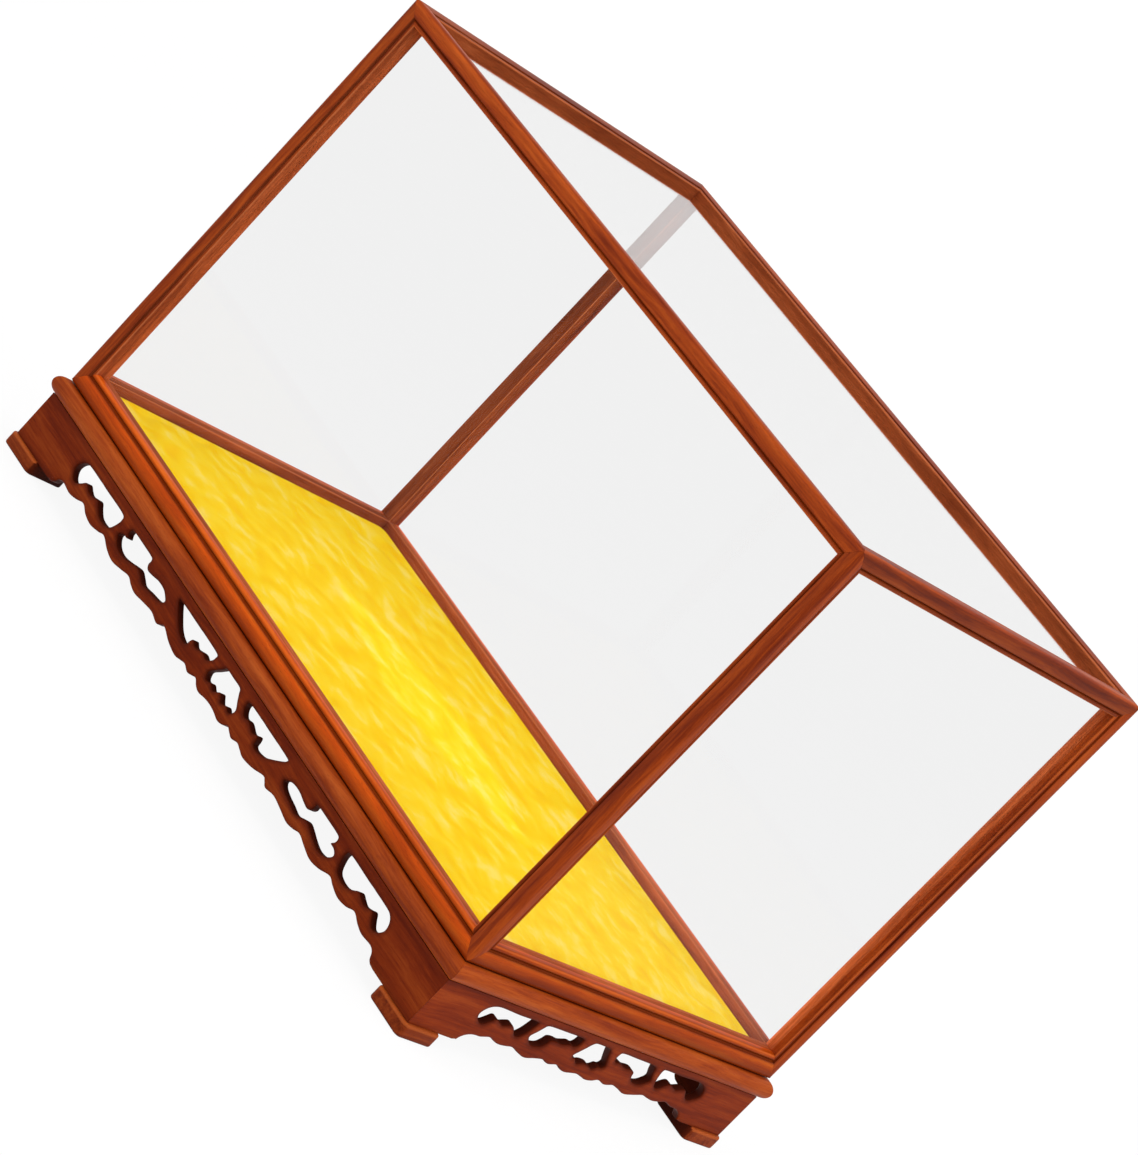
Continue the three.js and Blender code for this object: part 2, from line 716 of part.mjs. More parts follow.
// The pad and its board drop in from above and keep the hood in its place
function addPaddedFloor() {
  const length = hoodLength - 2 * memberDepth - 2 * padClearance;
  const width = hoodWidth - 2 * memberDepth - 2 * padClearance;
  const board = new THREE.BoxGeometry(length - 2 * boardInset, width - 2 * boardInset, boardThickness);
  const boardBottom = railTop + seam;
  addPiece('pad_board', board, 'board', { z: boardBottom + boardThickness / 2 });
  addPiece('velvet_pad', padGeometry(length, width), 'velvet', { z: boardBottom + boardThickness + seam });
}

addStandRails();
addFloor();
addAprons();
addCornersAndFeet();
addPaddedFloor();
addHoodFrame();
addPanes();

export default part;
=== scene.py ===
# %% [markdown]
# # A glazed hood on an openwork stand
#
# This is a Chinese hardwood display case: a glass hood in thin moulded rails, which lifts off a
# low stand with pierced aprons and a yellow velvet floor. The measured solids come in first, and
# nothing here changes their sizes. What follows makes each visible piece as fine as the real one.

# %% Load the measured solids
import json
import math
import bmesh
import bpy
from mathutils import Matrix, Vector, geometry, kdtree, noise

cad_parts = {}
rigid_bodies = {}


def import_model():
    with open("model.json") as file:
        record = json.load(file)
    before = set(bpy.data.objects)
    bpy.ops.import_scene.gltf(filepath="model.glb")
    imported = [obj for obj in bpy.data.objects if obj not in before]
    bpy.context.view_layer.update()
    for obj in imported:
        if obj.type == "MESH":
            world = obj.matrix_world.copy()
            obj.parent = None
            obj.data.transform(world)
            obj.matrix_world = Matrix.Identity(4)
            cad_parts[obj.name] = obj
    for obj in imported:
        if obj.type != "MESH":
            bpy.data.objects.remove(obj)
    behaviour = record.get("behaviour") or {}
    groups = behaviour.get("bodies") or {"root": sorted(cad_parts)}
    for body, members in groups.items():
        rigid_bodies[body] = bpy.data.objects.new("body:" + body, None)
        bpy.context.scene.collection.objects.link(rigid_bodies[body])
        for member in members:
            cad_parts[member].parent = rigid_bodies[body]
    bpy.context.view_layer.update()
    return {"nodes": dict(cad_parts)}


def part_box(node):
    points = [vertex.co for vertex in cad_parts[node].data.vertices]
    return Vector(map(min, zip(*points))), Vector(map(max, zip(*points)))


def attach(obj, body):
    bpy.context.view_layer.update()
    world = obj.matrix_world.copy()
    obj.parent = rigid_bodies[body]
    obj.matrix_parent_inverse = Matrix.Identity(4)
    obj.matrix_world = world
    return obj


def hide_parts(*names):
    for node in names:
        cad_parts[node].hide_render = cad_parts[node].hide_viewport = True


bpy.context.scene.view_settings.view_transform = "Standard"
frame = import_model()


# %% [markdown]
# ## Lengths
#
# All lengths are in metres, and they repeat the ones that the solids were made from, because a
# piece made here stands in for a solid and needs the same outside.

# %% Lengths of the hood
hood_length = 0.500
hood_width = 0.310
hood_height = 0.311
member_face = 0.013
bottom_rail_face = 0.0155
member_depth = 0.013
arris_radius = 0.003
lip_radius = 0.0006
crown_drop = 0.0007
quirk_depth = 0.0023
bead_setback = 0.0012
band_share = 0.7
quirk_share = 0.075
glass_thickness = 0.002
glass_setback = 0.00615

# %% Lengths of the stand and its floor
rail_thickness = 0.0125
rail_width = 0.032
rail_overhang = 0.005
panel_groove_depth = 0.006
panel_groove_drop = 0.0024
panel_groove_height = 0.0051
batten_width = 0.020
batten_spacing = 0.170
tongue_length = 0.008
tongue_thickness = 0.003
apron_height = 0.0332
apron_thickness = 0.0065
apron_inset = 0.004
leg_width = 0.045
foot_side = 0.0325
foot_height = 0.009
foot_projection = 0.0025
foot_softening = 0.0012
foot_corner_radius = 0.004
pad_height = 0.0056
pad_crown = 0.0014
velvet_loft = 0.0028
hood_rest = 0.0003
seam = 0.0002
tight_seam = 0.00008

# %% Heights and plan sizes that follow from them
apron_bottom = foot_height + seam
rail_bottom = apron_bottom + apron_height + seam
rail_top = rail_bottom + rail_thickness
hood_bottom = rail_top + hood_rest
hood_top = hood_bottom + hood_height
rail_length = hood_length + 2 * rail_overhang
rail_span = hood_width + 2 * rail_overhang
apron_length = rail_length - 2 * apron_inset
apron_span = rail_span - 2 * apron_inset
pad_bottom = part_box("velvet_pad")[0].z
print("hood stands from", round(hood_bottom, 4), "to", round(hood_top, 4), "m")

# %% Helpers for objects and meshes
def set_values(item, **values):
    for key, value in values.items():
        setattr(item, key, value)


def add_object(name, data):
    item = bpy.data.objects.new(name, data)
    bpy.context.scene.collection.objects.link(item)
    return item


def count_made(start):
    return len([item for item in bpy.data.objects if item.name.startswith(start)])


def give_finish(mesh, finish):
    mesh.materials.clear()
    mesh.materials.append(finish)


def refinish(start, finish):
    """Give one finish to every kept solid whose name starts so."""
    names = [name for name in frame["nodes"] if name.startswith(start)]
    for name in names:
        give_finish(frame["nodes"][name].data, finish)
    return names


def store(mesh, name, values, kind="FLOAT"):
    """Keep one value for each point of a mesh, as an attribute."""
    key = "vector" if kind == "FLOAT_VECTOR" else "value"
    for item, value in zip(mesh.attributes.new(name, kind, "POINT").data, values):
        setattr(item, key, value)


def plain_mesh(source, name):
    """The evaluated object's shape, as a mesh of its own."""
    depsgraph = bpy.context.evaluated_depsgraph_get()
    mesh = bpy.data.meshes.new_from_object(source.evaluated_get(depsgraph), depsgraph=depsgraph)
    mesh.name = name
    return mesh


def tidy_faces(mesh):
    """Turn all faces of a closed mesh outwards."""
    bm = bmesh.new()
    bm.from_mesh(mesh)
    bmesh.ops.remove_doubles(bm, verts=bm.verts, dist=1e-7)
    bmesh.ops.recalc_face_normals(bm, faces=bm.faces)
    bm.to_mesh(mesh)
    bm.free()


print("object helpers ready")

# %% [markdown]
# ## Camera
#
# The camera looks down at the front right corner from about 13 degrees, with a long lens, and is
# rolled by nearly 44 degrees, so that the case lies across the picture. Position and turn were
# worked out from the corners of the case in the picture. The picture is 1138 x 1155 pixels, and
# the lens is given for the longer side.

# %% Place the camera
camera_azimuth = math.radians(36.993)
camera_elevation = math.radians(12.91)
camera_roll = math.radians(43.669)
camera_place = Vector((1.6247, -2.1491, 0.8020))

backward = Vector((
    math.sin(camera_azimuth) * math.cos(camera_elevation),
    -math.cos(camera_azimuth) * math.cos(camera_elevation),
    math.sin(camera_elevation),
))
level_right = Vector((math.cos(camera_azimuth), math.sin(camera_azimuth), 0))
level_up = backward.cross(level_right)
right = level_right * math.cos(camera_roll) + level_up * math.sin(camera_roll)
up = level_up * math.cos(camera_roll) - level_right * math.sin(camera_roll)

camera_data = bpy.data.cameras.new("long lens")
set_values(camera_data, sensor_width=36, lens=147.33, clip_end=20)
camera = add_object("camera", camera_data)
camera_turn = Matrix((right, up, backward)).transposed().to_4x4()
camera.matrix_world = Matrix.Translation(camera_place) @ camera_turn
bpy.context.scene.camera = camera
print("camera stands", round(camera_place.length, 2), "m away, lens", camera_data.lens, "mm")

# %% [markdown]
# ## Small helpers for node trees
#
# Every finish below is a tree of shader nodes. A few helpers keep the trees short: one adds a node
# and joins its inputs by name, one starts an empty material, and the others each add a common
# step. So each finish reads as a recipe, from the pattern's place to the shader.

# %% Helpers for node trees
def add_node(tree, kind, settings=None, **inputs):
    """Add a node, set its properties, and fill or join its inputs, by name or by number as i0."""
    node = tree.nodes.new(kind)
    set_values(node, **(settings or {}))
    for key, value in inputs.items():
        by_number = key[0] == "i" and key[1:].isdigit()
        socket = node.inputs[int(key[1:]) if by_number else key.replace("_", " ")]
        if isinstance(value, bpy.types.NodeSocket):
            tree.links.new(value, socket)
        else:
            socket.default_value = value
    return node


def new_material(name):
    material = bpy.data.materials.new(name)
    material.use_nodes = True
    tree = material.node_tree
    tree.nodes.clear()
    return material, tree, tree.nodes.new("ShaderNodeOutputMaterial")


def maths(tree, operation, *values, **settings):
    """One step of arithmetic on numbers or sockets."""
    inputs = {f"i{k}": value for k, value in enumerate(values)}
    settings["operation"] = operation
    return add_node(tree, "ShaderNodeMath", settings, **inputs).outputs[0]


def choose(tree, share, first, second):
    """The first number where share is 0, and the second where it is 1."""
    return add_node(tree, "ShaderNodeMix", {"data_type": "FLOAT"}, i0=share, i2=first,
                    i3=second).outputs[0]


def own_place(tree):
    """Each point's place in the object."""
    return add_node(tree, "ShaderNodeTexCoord").outputs["Object"]


def turned_or_stretched(tree, place, **change):
    return add_node(tree, "ShaderNodeMapping", Vector=place, **change).outputs[0]


print("node helpers ready")

# %% Helpers for colours and patterns
def linear(red, green, blue):
    """A colour given from 0 to 255, as the renderer's linear light."""
    parts = [v / 255 for v in (red, green, blue)]
    return tuple(v / 12.92 if v <= 0.04045 else ((v + 0.055) / 1.055) ** 2.4 for v in parts) + (1,)


def add_ramp(tree, factor, stops):
    """A colour ramp through (place, colour) stops."""
    ramp = add_node(tree, "ShaderNodeValToRGB", Fac=factor)
    elements = ramp.color_ramp.elements
    while len(elements) < len(stops):
        elements.new(0.5)
    for element, (place, colour) in zip(elements, stops):
        element.position = place
        element.color = colour
    return ramp.outputs["Color"]


def colour_mix(tree, share, first, second, blend="MIX"):
    settings = {"data_type": "RGBA", "blend_type": blend}
    return add_node(tree, "ShaderNodeMix", settings, i0=share, i6=first, i7=second).outputs[2]


def soft_noise(tree, place, detail, roughness=0.5, scale=1.0, channel="Fac"):
    return add_node(tree, "ShaderNodeTexNoise", Vector=place, Scale=scale, Detail=detail,
                    Roughness=roughness).outputs[channel]


def streaks(tree, place, stretch, detail, roughness=0.5):
    """Noise with a scale for each axis, so that it can be longer one way."""
    return soft_noise(tree, turned_or_stretched(tree, place, Scale=stretch), detail, roughness)


def wandering(tree, place, sideways, scale, detail):
    """The same place, pushed about by soft noise."""
    push = soft_noise(tree, place, detail, scale=scale, channel="Color")
    return add_node(tree, "ShaderNodeVectorMath", {"operation": "MULTIPLY_ADD"},
                    i0=push, i1=sideways, i2=place).outputs[0]


def bumped(tree, height, strength, distance):
    return add_node(tree, "ShaderNodeBump", Height=height, Strength=strength,
                    Distance=distance).outputs[0]


def surface(tree, output, kind, **inputs):
    """End a recipe: add its last shader and join it to the output."""
    shader = add_node(tree, f"ShaderNode{kind}", **inputs)
    tree.links.new(shader.outputs[0], output.inputs["Surface"])


print("pattern helpers ready")

# %% [markdown]
# ## Floor, sky and lamps
#
# The case was pictured on plain white. A white floor under soft lamps would need a lot of light to
# look white, and that light would bleach the wood. So the floor glows white towards the camera, and
# towards rays that reached it by a mirror or a pane, and is an ordinary pale surface to all other
# light. A share of plain diffuse white stays in it, which keeps a faint shadow under the feet. Far
# from the case that share fades out, so that no horizon shows in a low view.

# %% Brightness of the background
floor_shown, floor_behind_glass = 1.09, 0.935
sky_shown, sky_behind_glass = 1.0, 0.885
fade_start, fade_end = 1.2, 4.0


def seen_directly(tree):
    """1 for rays from the camera, a mirror or a pane, and 0 for light that has spread."""
    path = add_node(tree, "ShaderNodeLightPath").outputs
    seen = maths(tree, "MAXIMUM", path["Is Camera Ray"], path["Is Glossy Ray"])
    seen = maths(tree, "MAXIMUM", seen, path["Is Transmission Ray"])
    return maths(tree, "MULTIPLY", seen, maths(tree, "LESS_THAN", path["Diffuse Depth"], 0.5))


def dimmed_by_glass(tree, plain, behind_glass):
    """A brightness that changes where it is seen through a pane, or mirrored in one."""
    path = add_node(tree, "ShaderNodeLightPath").outputs
    glazed = maths(tree, "MAXIMUM", path["Is Transmission Ray"], path["Is Glossy Ray"])
    return choose(tree, glazed, plain, behind_glass)


def faded(tree, distance, near_value, far_value):
    """A value that changes evenly between two distances from the case."""
    return add_node(tree, "ShaderNodeMapRange", Value=distance, From_Min=fade_start,
                    From_Max=fade_end, To_Min=near_value, To_Max=far_value).outputs[0]


print("white behind glass:", floor_behind_glass, "on the floor,", sky_behind_glass, "in the sky")

# %% Make the floor
def floor_material(glow_share=0.84):
    material, tree, output = new_material("white floor")
    place = own_place(tree)
    grain = soft_noise(tree, place, detail=2.0, scale=40.0)
    tone = add_ramp(tree, grain, [(0.3, (0.62, 0.62, 0.62, 1)), (0.7, (0.64, 0.64, 0.64, 1))])
    plain = add_node(tree, "ShaderNodeBsdfDiffuse", Color=tone)
    length = add_node(tree, "ShaderNodeVectorMath", {"operation": "LENGTH"}, i0=place)
    distance = length.outputs["Value"]
    level = maths(tree, "MULTIPLY", dimmed_by_glass(tree, floor_shown, floor_behind_glass),
                  faded(tree, distance, 1.0, sky_behind_glass / floor_behind_glass))
    glow = add_node(tree, "ShaderNodeEmission", Color=(1, 1, 1, 1), Strength=level)
    share = maths(tree, "MULTIPLY", seen_directly(tree), faded(tree, distance, glow_share, 1.0))
    surface(tree, output, "MixShader", Fac=share, i1=plain.outputs[0], i2=glow.outputs[0])
    return material


def make_floor(reach=14.0):
    mesh = bpy.data.meshes.new("floor")
    corners = [(-reach, -reach, 0), (reach, -reach, 0), (reach, reach, 0), (-reach, reach, 0)]
    mesh.from_pydata(corners, [], [(0, 1, 2, 3)])
    mesh.materials.append(floor_material())
    floor = add_object("studio_floor", mesh)


make_floor()
print("floor laid")

# %% [markdown]
# The sky is the same white for the camera, and a moderate, even light for everything else. Three
# soft lamps shape the wood: a broad one overhead, one from the right, which makes the short side
# brighter than the long one, and a weak one from the front left, so that the mouldings show.

# %% Sky and lamps
lamp_target = Vector((0, 0, 0.2))


def make_sky(strength=0.38):
    world = bpy.data.worlds.new("studio")
    bpy.context.scene.world = world
    world.use_nodes = True
    tree = world.node_tree
    tree.nodes.clear()
    output = tree.nodes.new("ShaderNodeOutputWorld")
    level = choose(tree, seen_directly(tree), strength,
                   dimmed_by_glass(tree, sky_shown, sky_behind_glass))
    surface(tree, output, "Background", Color=(1, 1, 1, 1), Strength=level)


def soft_lamp(name, place, power, size=4.4):
    """A square lamp that looks at the middle of the case. Its power is in watts."""
    data = bpy.data.lights.new(name, "AREA")
    set_values(data, shape="SQUARE", size=size, energy=power)
    direction = lamp_target - Vector(place)
    turn = direction.to_track_quat("-Z", "Y").to_matrix().to_4x4()
    add_object(name, data).matrix_world = Matrix.Translation(place) @ turn


make_sky()
soft_lamp("overhead lamp", (0.4, 0.3, 4.4), power=97)
soft_lamp("right lamp", (4.6, 0.5, 2.2), power=104)
soft_lamp("front lamp", (-1.6, -4.6, 1.7), power=72)

# %% [markdown]
# ## Rosewood
#
# The frame and stand are oiled rosewood: orange brown, with long darker streaks, fine dark pores
# that follow the grain, and a satin polish. The grain of a real board runs along it, so the pattern
# can't simply hang in space. Each piece made below stores where every point lies in its own board
# in an attribute called grain, with a shift for each board so that no two match. One recipe then
# serves them all, and pieces that keep their solid use object coordinates in its place.

# %% The rosewood recipe
grain_turns = {"X": (0, 0, 0), "Y": (0, 0, math.pi / 2), "Z": (0, math.pi / 2, 0)}


def rosewood(name, dark, middle, light, along=None, shade_and_dust_colour=(84, 24, 5),
             highlight_colour=(232, 118, 52), roughness=0.4, shine=0.2):
    """Wood between three tones. along names the axis that the grain follows on a kept solid."""
    material, tree, output = new_material(name)

    def stored(attribute):
        return add_node(tree, "ShaderNodeAttribute", {"attribute_name": attribute}).outputs

    if along is None:
        place = stored("grain")["Vector"]
    else:
        place = turned_or_stretched(tree, own_place(tree), Rotation=grain_turns[along])
    bent = wandering(tree, place, sideways=(0.0, 0.012, 0.012), scale=9.0, detail=2.0)
    broad = streaks(tree, bent, (7.0, 150.0, 150.0), detail=4.0, roughness=0.62)
    fine = streaks(tree, bent, (45.0, 900.0, 900.0), detail=3.0, roughness=0.6)
    pores = add_node(tree, "ShaderNodeTexVoronoi", {"feature": "F1"}, Scale=1.0,
                     Vector=turned_or_stretched(tree, bent, Scale=(130.0, 1900.0, 1900.0)))
    pore_mask = add_ramp(tree, pores.outputs["Distance"],
                         [(0.10, (1, 1, 1, 1)), (0.26, (0, 0, 0, 1))])
    deep = [(d + m) / 2 for d, m in zip(dark, middle)]
    tone = add_ramp(tree, maths(tree, "MULTIPLY_ADD", fine, 0.38, broad), [
        (0.46, linear(*dark)), (0.60, linear(*deep)), (0.72, linear(*middle)),
        (0.92, linear(*light))])
    pored = colour_mix(tree, maths(tree, "MULTIPLY", pore_mask, 0.55), tone,
                       (0.45, 0.34, 0.30, 1), "MULTIPLY")
    # The stored board tone makes a whole board lighter or darker: a random tone on the feet,
    # painted light on each side of the hood and stand.
    tone_and_light_level = maths(tree, "ADD", stored("board_tone")["Fac"], 1.0)
    toned = add_node(tree, "ShaderNodeHueSaturation", Color=pored, Value=tone_and_light_level).outputs[0]
    # Above 0 the stored value darkens the wood, as dust and painted shade; below 0 it lightens it,
    # as a painted highlight.
    hollow = stored("hollow")["Fac"]
    highlight_share = maths(tree, "MULTIPLY", hollow, -1.0, use_clamp=True)
    highlighted = colour_mix(tree, highlight_share, toned, linear(*highlight_colour))
    darkened = colour_mix(tree, hollow, highlighted, linear(*shade_and_dust_colour))
    satin = add_node(tree, "ShaderNodeMapRange", Value=fine, To_Min=roughness - 0.08,
                     To_Max=roughness + 0.12).outputs[0]
    height = maths(tree, "MULTIPLY_ADD", pore_mask, -0.8, fine)
    relief = bumped(tree, height, strength=0.25, distance=0.0002)
    surface(tree, output, "BsdfPrincipled", Base_Color=darkened, Roughness=satin, Normal=relief,
            Specular_IOR_Level=shine)
    return material


print("rosewood recipe ready")

# %% Woods for each kind of piece
hood_wood = rosewood("hood rosewood", (186, 66, 4), (226, 90, 8), (244, 114, 22), shine=0.08)
post_wood = rosewood("post rosewood", (116, 36, 8), (166, 66, 17), (192, 86, 26), shine=0.08)
# The inside faces get a browner copy of the wood: painted light, for the light inside the case.
inner_wood = rosewood("inner rosewood", (138, 62, 34), (181, 88, 48), (213, 112, 66),
                      highlight_colour=(223, 130, 80), shine=0.003)
rail_wood = rosewood("stand rosewood", (130, 44, 10), (172, 72, 20), (196, 94, 34), shine=0.08)
apron_wood = rosewood("apron rosewood", (110, 31, 7), (146, 52, 14), (172, 72, 24), shine=0.05)
sawn_wood = rosewood("sawn edges", (42, 11, 3), (76, 23, 8), (106, 38, 16), roughness=0.6)
foot_wood = rosewood("foot rosewood", (98, 32, 9), (142, 56, 19), (168, 76, 30), shine=0.06)
panel_wood = rosewood("panel rosewood", (92, 34, 14), (138, 60, 26), (170, 84, 42), "X",
                      roughness=0.5)
batten_wood = rosewood("batten rosewood", (84, 30, 13), (126, 52, 24), (160, 76, 38), "Y",
                       roughness=0.5)
block_wood = rosewood("block rosewood", (70, 24, 10), (112, 44, 20), (146, 66, 34), "Z",
                      roughness=0.55)
print("finishes so far:", [m.name for m in bpy.data.materials])

# %% [markdown]
# ## Glass
#
# The panes are thin float glass, and the white behind them looks light grey. A grey tint in the
# glass would be the plain way, but it makes a fine noise, because the renderer drops a share of the
# rays that have lost light. So the glass is perfectly clear, and the floor and sky are a little
# greyer for rays that a pane lets through or mirrors. Lamps have to shine in through the panes, and
# a glass shader alone would throw noisy shadows, so the glass turns clear for shadow rays.

# %% The glass recipe
def pane_glass(name, bending):
    """Clear float glass. bending is its IOR: 1.5 mirrors as plain glass does, less is duller."""
    material, tree, output = new_material(name)
    ripple = soft_noise(tree, own_place(tree), detail=1.0, scale=6.0)
    glass = add_node(tree, "ShaderNodeBsdfPrincipled", Base_Color=(1, 1, 1, 1), Roughness=0.0,
                     IOR=bending, Transmission_Weight=1.0,
                     Normal=bumped(tree, ripple, strength=0.04, distance=0.0005))
    clear = add_node(tree, "ShaderNodeBsdfTransparent", Color=(0.97, 0.97, 0.97, 1))
    path = add_node(tree, "ShaderNodeLightPath")
    surface(tree, output, "MixShader", Fac=path.outputs["Is Shadow Ray"], i1=glass.outputs[0],
            i2=clear.outputs[0])
    return material


print("panes glazed:", refinish("pane_", pane_glass("side glass", 1.13)))
print("with a stronger mirror:", refinish("pane_top", pane_glass("top glass", 1.5)))

# %% [markdown]
# ## A moulding whose ends are mitred
#
# Twelve members of the hood and four rails of the stand are all one idea: a section drawn once and
# run straight, with both ends cut to the mitre. That is a rule, so one Geometry Nodes tree makes
# them all. It takes a flat section, pushes it along its length, closes the near end, and then steps
# each end point back by so much for every millimetre behind the two outer faces. Where three
# members meet, two mitre planes cross in a ridge, so the section is drawn as two faces that share
# an edge there.

# %% The tree for a mitred moulding
end_steps = ("Near step across", "Near step up", "Far step across", "Far step up")
round_edge_limit = math.radians(32)


def mitred_moulding_tree():
    tree = bpy.data.node_groups.new("mitred moulding", "GeometryNodeTree")
    kinds = {"Section": "Geometry", "Length": "Float", **dict.fromkeys(end_steps, "Float"),
             "Seam": "Float", "Wood": "Material"}
    for name, kind in kinds.items():
        tree.interface.new_socket(name, in_out="INPUT", socket_type=f"NodeSocket{kind}")
    tree.interface.new_socket("Moulding", in_out="OUTPUT", socket_type="NodeSocketGeometry")
    given = tree.nodes.new("NodeGroupInput").outputs

    along = add_node(tree, "ShaderNodeCombineXYZ", X=1.0)
    run = add_node(tree, "GeometryNodeExtrudeMesh", {"mode": "FACES"}, Mesh=given["Section"],
                   Offset=along.outputs[0], Offset_Scale=given["Length"], Individual=False)
    near_end = add_node(tree, "GeometryNodeFlipFaces", Mesh=given["Section"])
    joined = add_node(tree, "GeometryNodeJoinGeometry")
    tree.links.new(run.outputs["Mesh"], joined.inputs[0])
    tree.links.new(near_end.outputs["Mesh"], joined.inputs[0])
    closed = add_node(tree, "GeometryNodeMergeByDistance", Geometry=joined.outputs[0],
                      Distance=1e-7)
    position = add_node(tree, "GeometryNodeInputPosition").outputs[0]
    place = add_node(tree, "ShaderNodeSeparateXYZ", Vector=position).outputs
    rise = maths(tree, "ABSOLUTE", place["Z"])

    def step_back(end):
        steps = maths(tree, "MAXIMUM",
                      maths(tree, "MULTIPLY", place["Y"], given[f"{end} step across"]),
                      maths(tree, "MULTIPLY", rise, given[f"{end} step up"]))
        return maths(tree, "ADD", steps, given["Seam"])

    half = maths(tree, "MULTIPLY", given["Length"], 0.5)
    near = maths(tree, "SUBTRACT", step_back("Near"), half)
    far = maths(tree, "SUBTRACT", half, step_back("Far"))
    end = choose(tree, maths(tree, "GREATER_THAN", place["X"], half), near, far)
    moved = add_node(tree, "ShaderNodeCombineXYZ", X=end, Y=place["Y"], Z=place["Z"])
    mitred = add_node(tree, "GeometryNodeSetPosition", Geometry=closed.outputs[0],
                      Position=moved.outputs[0])
    angle = add_node(tree, "GeometryNodeInputMeshEdgeAngle").outputs["Unsigned Angle"]
    smooth = mitred
    for domain, is_smooth in (("EDGE", maths(tree, "LESS_THAN", angle, round_edge_limit)),
                              ("FACE", True)):
        smooth = add_node(tree, "GeometryNodeSetShadeSmooth", {"domain": domain},
                          Geometry=smooth.outputs[0], Shade_Smooth=is_smooth)
    real = add_node(tree, "GeometryNodeRealizeInstances", Geometry=smooth.outputs[0])
    made = add_node(tree, "GeometryNodeSetMaterial", Geometry=real.outputs[0],
                    Material=given["Wood"])
    tree.links.new(made.outputs[0], tree.nodes.new("NodeGroupOutput").inputs[0])
    return tree


moulding_tree = mitred_moulding_tree()
print("moulding tree has", len(moulding_tree.nodes), "nodes")

# %% [markdown]
# ## Sections
#
# Each outer face of the hood's members carries the same moulding: a broad, slightly crowned band,
# a narrow sunk line, and a round bead next to the glass. Posts and top rails carry it on both outer
# faces, and bottom rails on one. Each point of a section also carries a value that darkens it, from
# 0 to 1: dust and painted shade in the sunk line, and painted shade across the band and the bead.
# Below 0 it lightens the wood, as a painted highlight. The grooves aren't cut here, because each
# pane fills its groove.

# %% Draw the hood's sections
# Painted shade down each band and up each bead; the values below 0 are a painted highlight on the
# bead.
band_painted_light = (0.60, 0.50, 0.38, 0.30, 0.22, 0.10, -0.02, 0.10, 1.0)
quirk_marks = ((0.12, 0.8), (0.5, 1.0), (0.88, 0.9))
corner_shade_and_dust, bottom_shade_and_dust = 0.4, 0.7
lip_highlight = 0.6
bead_painted_light = (1.0, 1.0, 0.9, 0.75, 0.6, 0.45, 0.28, 0.08, -0.3, -0.5, -0.25, 0.1, 0.25)


def moulded_face(face, shade_and_dust):
    """Points (along the face, depth behind it, dust and painted light) from the arris to the pane
    and past it.
    """
    band = face * band_share
    quirk = face * quirk_share
    bead = (face - band - quirk) / 2
    points = []
    last = len(band_painted_light) - 1
    for i, shade in enumerate(band_painted_light):
        share = i / last
        hollow = shade_and_dust if i == last else shade * max(0.0, 3 * shade_and_dust - 1.1)
        points.append((arris_radius + (band - arris_radius) * share, crown_drop * share ** 2,
                       hollow))
    points += [(band + quirk * share, quirk_depth * depth, shade_and_dust) for share, depth in quirk_marks]
    for i, shade in enumerate(bead_painted_light):
        angle = math.pi * (1 - i / (len(bead_painted_light) - 1))
        points.append((band + quirk + bead * (1 + math.cos(angle)),
                       bead_setback + bead * (1 - math.sin(angle)),
                       shade * shade_and_dust if shade > 0 else shade))
    points.append((face, glass_setback, 0.0))
    return points


def softened_lip(lip, degrees, steps=6):
    """An arc round the inner corner of a member, from the side that faces the glass."""
    turns = [math.radians(degrees) * i / steps for i in range(steps + 1)]
    # The third value is a painted highlight along the arc.
    return [(lip - lip_radius * (1 - math.cos(a)), member_depth - lip_radius * (1 - math.sin(a)),
             -lip_highlight * math.sin(2 * a)) for a in turns]


def arris(hollow, steps=8):
    """The rounded outer edge between two faces."""
    turns = [math.pi / 2 * i / steps for i in range(1, steps)]
    return [(arris_radius * (1 - math.sin(a)), arris_radius * (1 - math.cos(a)), hollow)
            for a in turns]


def corner_section():
    face = moulded_face(member_face, corner_shade_and_dust) + softened_lip(member_depth, degrees=45)
    mirrored = [(f, d, h) for f, d, h in reversed(face)]
    return arris(0.0) + [(d, f, h) for f, d, h in face[:-1]] + mirrored


def bottom_section():
    # The bottom rail's lower arris and underside carry painted shade, where it sits on the stand.
    face = moulded_face(bottom_rail_face, bottom_shade_and_dust) + softened_lip(bottom_rail_face, degrees=90)
    underside = [(member_depth, 0, 0.35), (arris_radius, 0, 0.7)]
    return arris(0.6) + [(d, f, h) for f, d, h in face] + underside


print("points in a post's section:", len(corner_section()), "a rail's:", len(bottom_section()))

# %% [markdown]
# The stand's rails have a half-round nose, and a groove inside for the floor panel.

# %% Draw the stand rail's section
nose_shadow = 0.0003


def stand_rail_section(steps=24):
    nose = rail_thickness / 2
    turns = [math.pi * (i / steps - 0.5) for i in range(steps + 1)]
    points = [(nose * (1 - math.cos(a)), nose * (1 + math.sin(a)), 0.0) for a in turns]
    top = rail_thickness
    groove_top = top - panel_groove_drop
    groove_low = groove_top - panel_groove_height
    groove_back = rail_width - panel_groove_depth
    # The third value is painted shade: on the rail's top under the hood, and in the panel groove.
    return points + [
        (nose + nose_shadow, top, 0.8), (rail_width, top, 0.8), (rail_width, groove_top, 0.3),
        (groove_back, groove_top, 1.0), (groove_back, groove_low, 1.0),
        (rail_width, groove_low, 0.3), (rail_width, 0, 0.0)]


print("points in a stand rail's section:", len(stand_rail_section()))

# %% [markdown]
# ## Running a moulding
#
# The section is split where it crosses the ridge, turned into a small flat mesh, and given to the
# tree by a modifier. The result is taken from the evaluated object as a plain mesh. Before the
# piece is set in its place, its points are stored as the grain attribute, while X still runs along
# it.

